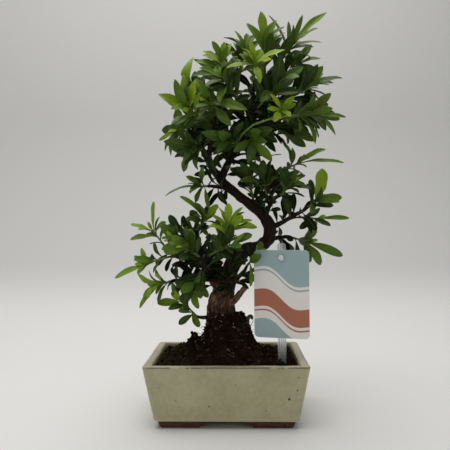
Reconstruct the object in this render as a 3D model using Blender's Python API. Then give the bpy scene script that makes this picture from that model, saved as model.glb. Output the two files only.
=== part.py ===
"""A firethorn bonsai: a glazed pot, soil, an S-curved trunk, leafy sprays and a plant tag.

Units are metres with +Z up. The tree is laid out round the middle of the pot, with the
surface under the feet at zero, and the whole is then shifted so that the middle of its
outline lies over the origin. Points of wood and leaves are hand-placed millimetres.
"""
import math
import random

import bmesh
import bpy
from mathutils import Matrix, Quaternion, Vector
from mathutils.bvhtree import BVHTree

MM = 0.001
GAP = 0.3 * MM
UP = Vector((0.0, 0.0, 1.0))
GOLDEN_ANGLE = math.radians(137.5)

# Pot
POT_WIDTH = 156.5 * MM
POT_DEPTH = 111 * MM
POT_HEIGHT = 60.4 * MM
POT_TAPER = 9 * MM
POT_CORNER = 5.5 * MM
CORNER_STEPS = 3
LIP_WIDTH = 8.5 * MM
LIP_ROUND = 1.1 * MM
FLOOR_THICKNESS = 8 * MM
FOOT_HEIGHT = 7.2 * MM
FOOT_WIDTH = 13 * MM
FOOT_INSET = 2.5 * MM
FOOT_DRAFT = 2.5 * MM
FOOT_GAP_FRONT = 44 * MM
FOOT_GAP_SIDE = 30 * MM
FOOT_SLOPE = 7 * MM
DRAIN_RADIUS = 6 * MM
DRAIN_SPACING = 64 * MM

# Soil
SOIL_DROP = 3.2 * MM
SOIL_CLEARANCE = 0.4 * MM
SOIL_RINGS = 9
SOIL_LONG_PARTS = 6
SOIL_SHORT_PARTS = 4
MOUND_CENTRE = Vector((0.0, 0.0, 0.0))
BALL_HEIGHT = 26 * MM
BALL_RADIUS = 15 * MM
BALL_SPREADS = (8 * MM, 12 * MM)
SKIRT_HEIGHT = 17 * MM
SKIRT_SPREADS = (32 * MM, 24 * MM)
MOUND_LOBES = 0.1
CLUMP = Vector((-34 * MM, -7 * MM, 0.0))
CLUMP_HEIGHT = 16 * MM
CLUMP_SPREAD = 7 * MM
CRUMB_HEIGHT = 3.2 * MM
CRUMB_PITCH = 20 * MM

# Plant tag: a card the size of a bank card, hung on a ribbed stake
CARD_WIDTH = 54 * MM
CARD_HEIGHT = 85.6 * MM
CARD_THICKNESS = 0.8 * MM
CARD_CORNER = 4.5 * MM
CARD_HOLE_RADIUS = 3 * MM
CARD_HOLE_DROP = 7.5 * MM
CARD_PLACE = Vector((54 * MM, -28 * MM, 124.5 * MM))
CARD_YAW = math.radians(-13)
STAKE_WIDTH = 8 * MM
STAKE_WEB = 1.4 * MM
STAKE_RIB = 2.2 * MM
STAKE_TOP = 174 * MM
STAKE_FOOT = 24 * MM
STAKE_POINT = 12 * MM
PEG_RADIUS = 2.5 * MM
PEG_HEAD_RADIUS = 3.7 * MM
PEG_HEAD = 0.8 * MM
PEG_SIDES = 12

# Leaves
SEED = 11
LEAF_KEEL = 0.3 * MM
LEAF_ROOT = 0.45 * MM
PETIOLE = 0.1
LEAF_FOLD = 0.22
LEAF_WIDTHS = (9 * MM, 11.5 * MM)
LEAF_ARCHES = (0.06, 0.14)
LEAF_LENGTHS = (0.85, 1.12)
LEAF_SHORTEN = 0.012
SPIRAL_START = 0.12
SPIRAL_RUN = 0.84
OPEN_LOW = math.radians(60)
OPEN_TIP = math.radians(32)
WANDER = 0.12
WANDER_STEP = 0.1
LEAF_LIFT = 0.12
LEAF_PULL = 0.3
LEAF_ROLL = 0.5
SLIP = 0.8 * MM
SLIP_STEPS = 10
SLIP_SHARES = Vector((0.4, 1.6, 0.4))
CROWN_HEARTS = ((24, 14, 318), (58, 14, 206), (-26, 10, 158))
LEAF_STATIONS = (0.32, 0.7)
LEAF_SWELL = 1.08
LEAF_CLEARANCE = 0.4 * MM
LEAF_TRIES = 16
FACE_OUTWARD = 0.8
FACE_UPWARD = 0.35
FRONT_DEPTH = 25 * MM
HEART_PULL = 0.3
FLAT_FACE = 0.2
OWN_START = 0.14
STEM_SIDES = 5
STEM_RADIUS = 1.15 * MM
STEM_RUN = 8 * MM
FOOT_CLEARANCE = 3.5 * MM
STEM_TIP_RADIUS = 0.75 * MM
TWIG_RADIUS = 1.5 * MM
TWIG_SIDES = 4
LIMB_SIDES = 5
TRUNK_SIDES = 12
TRUNK_FLUTES = 0.06
FLUTES = ((3, 1.0, 0.35), (5, 0.6, -0.5))
TRUNK_CLEARANCE = 0.45 * MM

# Wood, each point as x, y, z and radius in millimetres
TRUNK = (
    (-5, 2, 62, 11), (-5, 1, 82, 12.5), (-6, 0, 98, 13), (-6, 0, 112, 12.3), (-3, 1, 126, 11),
    (2, 3, 140, 9.3), (8, 6, 154, 8.2), (19, 8, 165, 7.3), (33, 7, 169, 6.7), (43, 4, 177, 6.3),
    (44.5, 2, 190, 6.3), (37, 0, 203, 5.5), (27, -1, 211.5, 5.0), (16, -1, 220.5, 4.8),
    (5.5, 0, 229.5, 4.7), (-4, 1, 238, 4.6),
)
LIMBS = {
    "left_fork": ((-3, 1, 236, 4.4), (-11, 0, 247, 3.9), (-18, -2, 258, 3.4), (-24, -4, 271, 2.9),
                  (-30, -5, 284, 2.4), (-35, -6, 297, 2.0)),
    "leader": ((-6, 1, 236, 4.4), (-1, 2, 250, 4.0), (5, 3, 262, 3.8), (12, 3, 276, 3.5),
               (22, 2, 292, 3.2), (32, 1, 310, 2.9), (40, 0, 330, 2.5), (46, 0, 350, 2.0)),
    "crown_right": ((13, 3, 278, 2.2), (30, 8, 284, 2.5), (48, 10, 291, 2.2), (62, 8, 298, 1.9)),
    "crown_upper_left": ((25, 2, 297, 2.0), (11, -3, 308, 2.4), (1, -6, 322, 2.1), (-8, -8, 335, 1.8)),
    "crown_upper_right": ((34, 1, 314, 1.9), (46, 4, 318, 2.2), (58, 4, 325, 1.9)),
    "crown_front": ((19, 2, 287, 2.1), (24, -11, 303, 2.3), (27, -24, 315, 2.0), (29, -31, 328, 1.8)),
    "crown_back": ((29, 1, 304, 2.0), (25, 16, 309, 2.2), (25, 29, 317, 2.0), (28, 37, 329, 1.8)),
    "crown_front_low": ((8, 3, 268, 2.2), (16, -9, 277, 2.2), (28, -22, 286, 1.9), (42, -29, 293, 1.7)),
    "crown_back_low": ((3, 3, 258, 2.2), (3, 16, 274, 2.2), (-4, 28, 290, 1.9)),
    "crown_front_left": ((-18, -2, 258, 2.0), (-15, -14, 271, 2.3), (-12, -24, 284, 2.0), (-9, -31, 298, 1.7)),
    "middle_high": ((26, -1, 212, 2.6), (37, 3, 222, 2.6), (47, 5, 233, 2.2), (57, 4, 244, 1.8)),
    "middle_right": ((45, 2, 188, 2.9), (58, 0, 195, 2.5), (70, -2, 202, 2.1), (80, -4, 207, 1.8)),
    "middle_low": ((43, 4, 177, 2.8), (54, 8, 179, 2.4), (65, 8, 180, 2.0)),
    "middle_front": ((40, 0, 200, 2.6), (44, -12, 211, 2.2), (50, -20, 220, 1.8)),
    "middle_back": ((32, 0, 208, 2.6), (36, 14, 218, 2.3), (43, 24, 227, 1.8)),
    "middle_left": ((6, 0, 229, 2.6), (-5, -6, 231, 2.2), (-14, -9, 232, 1.8)),
    "low_left": ((-4, 1, 124, 8.5), (-13, -1, 138, 6.8), (-21, -3, 151, 5.4), (-27, -4, 164, 4.2),
                 (-30, -4, 177, 3.2), (-31, -3, 188, 2.4)),
    "low_far": ((-23, -3, 155, 2.8), (-34, -6, 157, 2.8), (-48, -8, 160, 2.4), (-60, -9, 168, 1.9)),
    "low_outer": ((-12, -1, 136, 3.2), (-27, -10, 138, 2.7), (-41, -14, 137, 2.2), (-53, -15, 137, 1.8)),
    "low_front": ((-16, -2, 143, 3.0), (-18, -15, 147, 2.7), (-20, -28, 151, 2.2), (-23, -34, 160, 1.8)),
    "low_shoot": ((-3, 0, 124, 3.6), (3, -11, 137, 3.0), (4, -20, 152, 2.4), (1, -26, 166, 1.9)),
    "low_right": ((-1, -3, 126, 3.0), (10, -9, 137, 2.5), (19, -14, 147, 1.9)),
    "low_back": ((-20, -3, 149, 3.0), (-22, 12, 160, 2.6), (-24, 24, 169, 2.0)),
    "low_back_right": ((2, 3, 140, 3.0), (4, 16, 150, 2.5), (4, 28, 160, 2.0)),
    "sucker": ((-8, -2, 101, 3.0), (-19, -9, 99, 2.3), (-27, -13, 99.5, 1.7)),
    "cut_stub": ((-4, -2, 106, 5.0), (7, -6, 115, 3.6), (20, -10, 130, 2.8)),
    "bare_twig": ((5, 3, 262, 1.7), (18, 0, 266, 1.3), (36, -3, 263.5, 1.0), (57, -4, 264.5, 0.6)),
}


def at(x, y, z):
    """A point given in millimetres."""
    return Vector((x, y, z)) * MM


def clear_scene():
    for obj in list(bpy.data.objects):
        bpy.data.objects.remove(obj, do_unlink=True)


def material(name, colour, roughness, metallic=0.0):
    made = bpy.data.materials.new(name)
    made.use_nodes = True
    shader = made.node_tree.nodes["Principled BSDF"]
    shader.inputs["Base Color"].default_value = (*colour, 1.0)
    shader.inputs["Roughness"].default_value = roughness
    shader.inputs["Metallic"].default_value = metallic
    return made


def solid(name, points, faces, look):
    mesh = bpy.data.meshes.new(name)
    mesh.from_pydata([tuple(p) for p in points], [], faces)
    mesh.materials.append(look)
    mesh.update()
    obj = bpy.data.objects.new(name, mesh)
    bpy.context.scene.collection.objects.link(obj)
    return obj


def drop_scraps(obj):
    """Keeps the largest closed body of a fused mesh; fills sealed hollows and drops scraps."""
    mesh = bmesh.new()
    mesh.from_mesh(obj.data)
    left = set(mesh.faces)
    bodies = []
    while left:
        front = [left.pop()]
        body = list(front)
        while front:
            for edge in front.pop().edges:
                if len(edge.link_faces) == 2:
                    for face in edge.link_faces:
                        if face in left:
                            left.remove(face)
                            body.append(face)
                            front.append(face)
        bodies.append(body)
    bodies.sort(key=len)
    scraps = [face for body in bodies[:-1] for face in body]
    bmesh.ops.delete(mesh, geom=scraps, context="FACES")
    mesh.to_mesh(obj.data)
    mesh.free()


def bake_modifiers(obj):
    """Puts the evaluated shape into the object and drops its modifiers."""
    graph = bpy.context.evaluated_depsgraph_get()
    shape = bpy.data.meshes.new_from_object(obj.evaluated_get(graph))
    obj.modifiers.clear()
    obj.data = shape


def combine(obj, others, operation):
    """One exact Boolean with a collection of solids, which are then removed."""
    group = bpy.data.collections.new(obj.name + "_operands")
    bpy.context.scene.collection.children.link(group)
    for other in others:
        group.objects.link(other)
    step = obj.modifiers.new("Combine", "BOOLEAN")
    step.operation = operation
    step.operand_type = "COLLECTION"
    step.collection = group
    step.solver = "EXACT"
    bake_modifiers(obj)
    for other in others:
        bpy.data.objects.remove(other, do_unlink=True)
    bpy.data.collections.remove(group)
    drop_scraps(obj)
    return obj


def loft(rings):
    """Points and faces of a closed solid through rings of equal size."""
    size = len(rings[0])
    points = [p for ring in rings for p in ring]
    faces = [tuple(reversed(range(size)))]
    for row in range(len(rings) - 1):
        for k in range(size):
            a = row * size + k
            b = row * size + (k + 1) % size
            faces.append((a, b, b + size, a + size))
    faces.append(tuple(range(len(points) - size, len(points))))
    return points, faces


def rounded_rectangle(half_x, half_y, radius, z, steps=CORNER_STEPS):
    """A ring of points, anticlockwise from above."""
    ring = []
    for quarter, (sx, sy) in enumerate(((1, 1), (-1, 1), (-1, -1), (1, -1))):
        for k in range(steps + 1):
            angle = math.radians(90 * (quarter + k / steps))
            x = sx * (half_x - radius) + radius * math.cos(angle)
            y = sy * (half_y - radius) + radius * math.sin(angle)
            ring.append(Vector((x, y, z)))
    return ring


def disc_ring(centre, axis, radius, sides):
    side = axis.orthogonal().normalized()
    other = axis.cross(side).normalized()
    turn = 2 * math.pi / sides
    return [centre + radius * (math.cos(k * turn) * side + math.sin(k * turn) * other)
            for k in range(sides)]


def cylinder(name, start, end, radius, sides, look):
    axis = (end - start).normalized()
    rings = [disc_ring(start, axis, radius, sides), disc_ring(end, axis, radius, sides)]
    return solid(name, *loft(rings), look)


def pot_ring(inset, z, steps=CORNER_STEPS):
    """A ring of the pot's outline at a height, moved in by an inset."""
    lean = POT_TAPER * (POT_HEIGHT - z) / (POT_HEIGHT - FOOT_HEIGHT)
    move = lean + inset
    radius = max(POT_CORNER - 0.6 * inset, 2 * MM)
    return rounded_rectangle(POT_WIDTH / 2 - move, POT_DEPTH / 2 - move, radius, z, steps)


def make_pot(look):
    floor = FOOT_HEIGHT + FLOOR_THICKNESS
    body = solid("pot", *loft([
        pot_ring(1.0 * MM, FOOT_HEIGHT),
        pot_ring(0.0, FOOT_HEIGHT + 1.2 * MM),
        pot_ring(0.0, POT_HEIGHT - LIP_ROUND),
        pot_ring(LIP_ROUND, POT_HEIGHT),
        pot_ring(LIP_WIDTH - LIP_ROUND, POT_HEIGHT),
        pot_ring(LIP_WIDTH, POT_HEIGHT - LIP_ROUND),
        pot_ring(LIP_WIDTH, floor),
    ]), look)
    base_x = POT_WIDTH / 2 - POT_TAPER - FOOT_INSET
    base_y = POT_DEPTH / 2 - POT_TAPER - FOOT_INSET
    sunk = FOOT_HEIGHT + 1.5 * MM
    foot = solid("foot", *loft([
        rounded_rectangle(base_x - FOOT_DRAFT, base_y - FOOT_DRAFT, POT_CORNER, 0.0),
        rounded_rectangle(base_x, base_y, POT_CORNER, sunk),
    ]), look)
    hollow = solid("foot_hollow", *loft([
        rounded_rectangle(base_x - FOOT_WIDTH, base_y - FOOT_WIDTH, POT_CORNER, -2 * MM),
        rounded_rectangle(base_x - FOOT_WIDTH, base_y - FOOT_WIDTH, POT_CORNER, FOOT_HEIGHT),
    ]), look)
    arches = [foot_arch(FOOT_GAP_FRONT, POT_DEPTH, 0.0, look),
              foot_arch(FOOT_GAP_SIDE, POT_WIDTH, math.pi / 2, look)]
    combine(foot, [hollow] + arches, "DIFFERENCE")
    combine(body, [foot], "UNION")
    drains = [cylinder("drain", at(0, 0, 1) + Vector((x, 0, 0)), Vector((x, 0, floor + 2 * MM)),
                       DRAIN_RADIUS, PEG_SIDES, look)
              for x in (-DRAIN_SPACING / 2, DRAIN_SPACING / 2)]
    return combine(body, drains, "DIFFERENCE")


def foot_arch(gap, length, turn, look):
    """The arched gap between two feet, as a bar that runs right through."""
    wide = gap / 2 + FOOT_SLOPE / 2
    narrow = gap / 2 - FOOT_SLOPE / 2
    middle = gap / 2
    profile = [(-wide, -2 * MM), (wide, -2 * MM), (wide, 0.4 * MM), (middle, 0.6 * FOOT_HEIGHT),
               (narrow, FOOT_HEIGHT), (-narrow, FOOT_HEIGHT), (-middle, 0.6 * FOOT_HEIGHT),
               (-wide, 0.4 * MM)]
    rings = [[Vector((x, y, z)) for x, z in profile] for y in (length / 2, -length / 2)]
    points, faces = loft(rings)
    spin = Matrix.Rotation(turn, 3, "Z")
    return solid("foot_arch", [spin @ p for p in points], faces, look)


def soil_height(x, y):
    """Height of the soil's surface: level near the rim, a root ball round the trunk, crumbly."""
    east, north = x - MOUND_CENTRE.x, y - MOUND_CENTRE.y
    turn = math.atan2(north, east)
    reach = math.hypot(east, north) * (1 + MOUND_LOBES * math.sin(4 * turn + 1))
    past = max(reach - BALL_RADIUS, 0.0)
    right = (1 + math.cos(turn)) / 2
    ball = past / (BALL_SPREADS[0] + (BALL_SPREADS[1] - BALL_SPREADS[0]) * right)
    skirt = past / (SKIRT_SPREADS[0] + (SKIRT_SPREADS[1] - SKIRT_SPREADS[0]) * right)
    clump = math.hypot(x - CLUMP.x, y - CLUMP.y) / CLUMP_SPREAD
    heap = BALL_HEIGHT * math.exp(-ball * ball) + SKIRT_HEIGHT * math.exp(-skirt * skirt)
    heap += CLUMP_HEIGHT * math.exp(-clump * clump)
    u, v = 2 * math.pi * x / CRUMB_PITCH, 2 * math.pi * y / CRUMB_PITCH
    crumbs = math.sin(u + 1.3 * math.sin(1.3 * v)) * math.sin(1.1 * v + 1.1 * math.sin(0.8 * u))
    return POT_HEIGHT - SOIL_DROP + heap + CRUMB_HEIGHT * crumbs * (0.35 + heap / (BALL_HEIGHT + SKIRT_HEIGHT))


def soil_ring(z):
    """The pot's inner wall less a clearance, with points added along its straight sides."""
    corners = pot_ring(LIP_WIDTH + SOIL_CLEARANCE, z, steps=1)
    parts = (1, SOIL_LONG_PARTS, 1, SOIL_SHORT_PARTS) * 2
    return [a.lerp(b, k / count)
            for a, b, count in zip(corners, corners[1:] + corners[:1], parts)
            for k in range(count)]


def make_soil(look, holes):
    edge = POT_HEIGHT - SOIL_DROP
    outer = soil_ring(edge)
    rings = [soil_ring(FOOT_HEIGHT + FLOOR_THICKNESS + GAP), soil_ring(edge - 3 * MM)]
    for row in range(SOIL_RINGS):
        share = 1 - row / SOIL_RINGS
        settle = min((1 - share) * 4, 1.0)
        ring = []
        for p in outer:
            x = MOUND_CENTRE.x + (p.x - MOUND_CENTRE.x) * share
            y = MOUND_CENTRE.y + (p.y - MOUND_CENTRE.y) * share
            ring.append(Vector((x, y, edge + (soil_height(x, y) - edge) * settle)))
        rings.append(ring)
    soil = solid("soil", *loft(rings), look)
    return combine(soil, holes, "DIFFERENCE")


def smooth_path(points, steps):
    """A Catmull-Rom curve through (x, y, z, radius) points, as (point, radius) pairs."""
    rows = [(at(*p[:3]), p[3] * MM) for p in points]
    path = []
    last = len(rows) - 1
    for i in range(last):
        p0, p1, p2, p3 = (rows[max(0, min(last, i + d))] for d in (-1, 0, 1, 2))
        for k in range(steps):
            t = k / steps
            place = 0.5 * (2 * p1[0] + (p2[0] - p0[0]) * t
                           + (2 * p0[0] - 5 * p1[0] + 4 * p2[0] - p3[0]) * t * t
                           + (3 * p1[0] - p0[0] - 3 * p2[0] + p3[0]) * t ** 3)
            path.append((place, p1[1] + (p2[1] - p1[1]) * t))
    path.append(rows[last])
    return path


def bezier(start, bend, end, steps):
    return [start * (1 - t) ** 2 + bend * (2 * t * (1 - t)) + end * t * t
            for t in (k / steps for k in range(steps + 1))]


def tube(path, sides, flutes=0.0, grow=0.0, start=None, end=None):
    """Points and faces of a round bar swept along (point, radius) pairs.

    start and end are the directions of its ends, where they matter."""
    rings = []
    normal = None
    last = len(path) - 1
    for i, (place, radius) in enumerate(path):
        along = (path[min(i + 1, last)][0] - path[max(i - 1, 0)][0]).normalized()
        if i == 0 and start:
            along = start
        if i == last and end:
            along = end
        if normal is None:
            normal = along.orthogonal().normalized()
        normal = (normal - along * normal.dot(along)).normalized()
        across = along.cross(normal)
        ring = []
        for k in range(sides):
            angle = 2 * math.pi * k / sides
            ridge = sum(size * math.cos(count * angle + turn * i) for count, size, turn in FLUTES)
            reach = radius * (1 + flutes * ridge) + grow
            ring.append(place + reach * (math.cos(angle) * normal + math.sin(angle) * across))
        rings.append(ring)
    return loft(rings)


def trunk_path():
    return smooth_path(TRUNK, 2)


def make_card(look):
    """The plant tag's card: a thin rounded plate with one hole near its top."""
    half = CARD_THICKNESS / 2
    outline = rounded_rectangle(CARD_WIDTH / 2, CARD_HEIGHT / 2, CARD_CORNER, 0.0)
    rings = [[Vector((p.x, y, p.y)) for p in outline] for y in (half, -half)]
    card = solid("tag_card", *loft(rings), look)
    height = CARD_HEIGHT / 2 - CARD_HOLE_DROP
    hole = cylinder("hole", Vector((0, 3 * MM, height)), Vector((0, -3 * MM, height)),
                    CARD_HOLE_RADIUS, PEG_SIDES, look)
    combine(card, [hole], "DIFFERENCE")
    card.matrix_world = tag_frame()
    return card


def tag_frame():
    return Matrix.Translation(CARD_PLACE) @ Matrix.Rotation(CARD_YAW, 4, "Z")


def stake_ring(z, scale, grow=0.0):
    """The stake's ribbed cross-section, behind the card."""
    rib = STAKE_RIB / 2
    web = STAKE_WEB / 2
    wide = STAKE_WIDTH / 2
    front = [(-wide, rib), (-0.7 * wide, rib), (-0.6 * wide, web),
             (0.6 * wide, web), (0.7 * wide, rib), (wide, rib)]
    outline = [(x, -y) for x, y in front] + [(x, y) for x, y in reversed(front)]
    setback = CARD_THICKNESS / 2 + GAP + rib
    return [Vector((x * scale, setback + y, z)) for x, y in outline]


def make_stake(look):
    """The clear stake that stands in the soil, with the peg that holds the card."""
    low = STAKE_FOOT - CARD_PLACE.z
    high = STAKE_TOP - CARD_PLACE.z
    rings = [stake_ring(low, 0.3), stake_ring(low + STAKE_POINT, 1.0), stake_ring(high - 2 * MM, 1.0),
             stake_ring(high, 0.6)]
    stake = solid("tag_stake", *loft(rings), look)
    height = CARD_HEIGHT / 2 - CARD_HOLE_DROP
    back = CARD_THICKNESS / 2 + GAP + STAKE_RIB / 2
    front = -CARD_THICKNESS / 2 - GAP
    peg = cylinder("peg", Vector((0, back, height)), Vector((0, front - PEG_HEAD / 2, height)),
                   PEG_RADIUS, PEG_SIDES, look)
    head = cylinder("head", Vector((0, front, height)), Vector((0, front - PEG_HEAD, height)),
                    PEG_HEAD_RADIUS, PEG_SIDES, look)
    combine(stake, [peg, head], "UNION")
    stake.matrix_world = tag_frame()
    return stake


def trunk_hole(look):
    """A plain hole in the soil, a little larger than the foot of the trunk."""
    path = trunk_path()
    place, radius = path[0]
    path[0] = (place - UP * TRUNK_CLEARANCE, radius)
    return solid("trunk_hole", *tube(path, TRUNK_SIDES, TRUNK_FLUTES, TRUNK_CLEARANCE), look)


def sucker_hole(look):
    """The hole of the low shoot that leaves the trunk at the soil's surface."""
    shape = tube(smooth_path(LIMBS["sucker"], 1), LIMB_SIDES, grow=2 * TRUNK_CLEARANCE)
    return solid("sucker_hole", *shape, look)


def stake_hole(look):
    """A plain slot in the soil, a little larger than the stake."""
    half_x = STAKE_WIDTH / 2 + 0.5 * MM
    half_y = STAKE_RIB / 2 + 0.5 * MM
    setback = CARD_THICKNESS / 2 + GAP + STAKE_RIB / 2
    low = STAKE_FOOT - GAP - CARD_PLACE.z
    high = POT_HEIGHT + 20 * MM - CARD_PLACE.z
    rings = [[Vector((x, setback + y, z)) for x, y in
              ((-half_x, -half_y), (half_x, -half_y), (half_x, half_y), (-half_x, half_y))]
             for z in (low, high)]
    hole = solid("stake_hole", *loft(rings), look)
    hole.data.transform(tag_frame())
    return hole


class Spray:
    """A green shoot: a twig of wood leads to its foot, and its leaves stand along its stem."""

    def __init__(self, name, limb, foot, tip, count, length, leaves=(), young=False):
        self.name = "spray_" + name
        self.limb = limb
        self.foot = at(*foot)
        self.tip = at(*tip)
        self.count = count
        self.length = length * MM
        self.leaves = leaves
        self.young = young
        self.heading = (self.tip - self.foot).normalized()
        self.top_share = 1.0
        self.placed = []

    def chance(self, kind, index, tries):
        """A source of chance of its own for each try at each leaf."""
        return random.Random(f"{SEED} {self.name} {kind} {index} {tries}")

    def set_back(self, limbs):
        """Moves the foot back towards its limb, as far as it stays clear of the wood."""
        reach = (self.tip - self.foot).length
        run = STEM_RUN
        while run > 0 and any(near_path(self.foot - self.heading * run, path) for path in limbs):
            run -= 1 * MM
        self.foot -= self.heading * max(run, 0.0)
        self.top_share = reach / (self.tip - self.foot).length

    def stem(self):
        reach = (self.tip - self.foot).length
        start = self.foot + self.heading * GAP
        sag = Vector((0.0, 0.0, -0.08 * reach))
        bend = start + self.heading * (0.5 * reach)
        return bezier(start, bend, self.tip + sag, 2)

    def stem_shape(self):
        radii = (STEM_RADIUS, (STEM_RADIUS + STEM_TIP_RADIUS) / 2, STEM_TIP_RADIUS)
        return tube(list(zip(self.stem(), radii)), STEM_SIDES, start=self.heading)

    def on_stem(self, share):
        """A point of the stem and its direction, at a share of its length."""
        places = self.stem()
        row = 0 if share < 0.5 else 1
        part = (share - 0.5 * row) * 2
        along = places[row + 1] - places[row]
        return places[row] + along * part, along.normalized()


def near_path(place, path):
    """Whether a shoot's foot is too close to a limb."""
    for (a, radius_a), (b, radius_b) in zip(path, path[1:]):
        part = max(0.0, min(1.0, (place - a).dot(b - a) / (b - a).length_squared))
        radius = radius_a + (radius_b - radius_a) * part
        if (place - a.lerp(b, part)).length < radius + FOOT_CLEARANCE:
            return True
    return False


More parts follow.
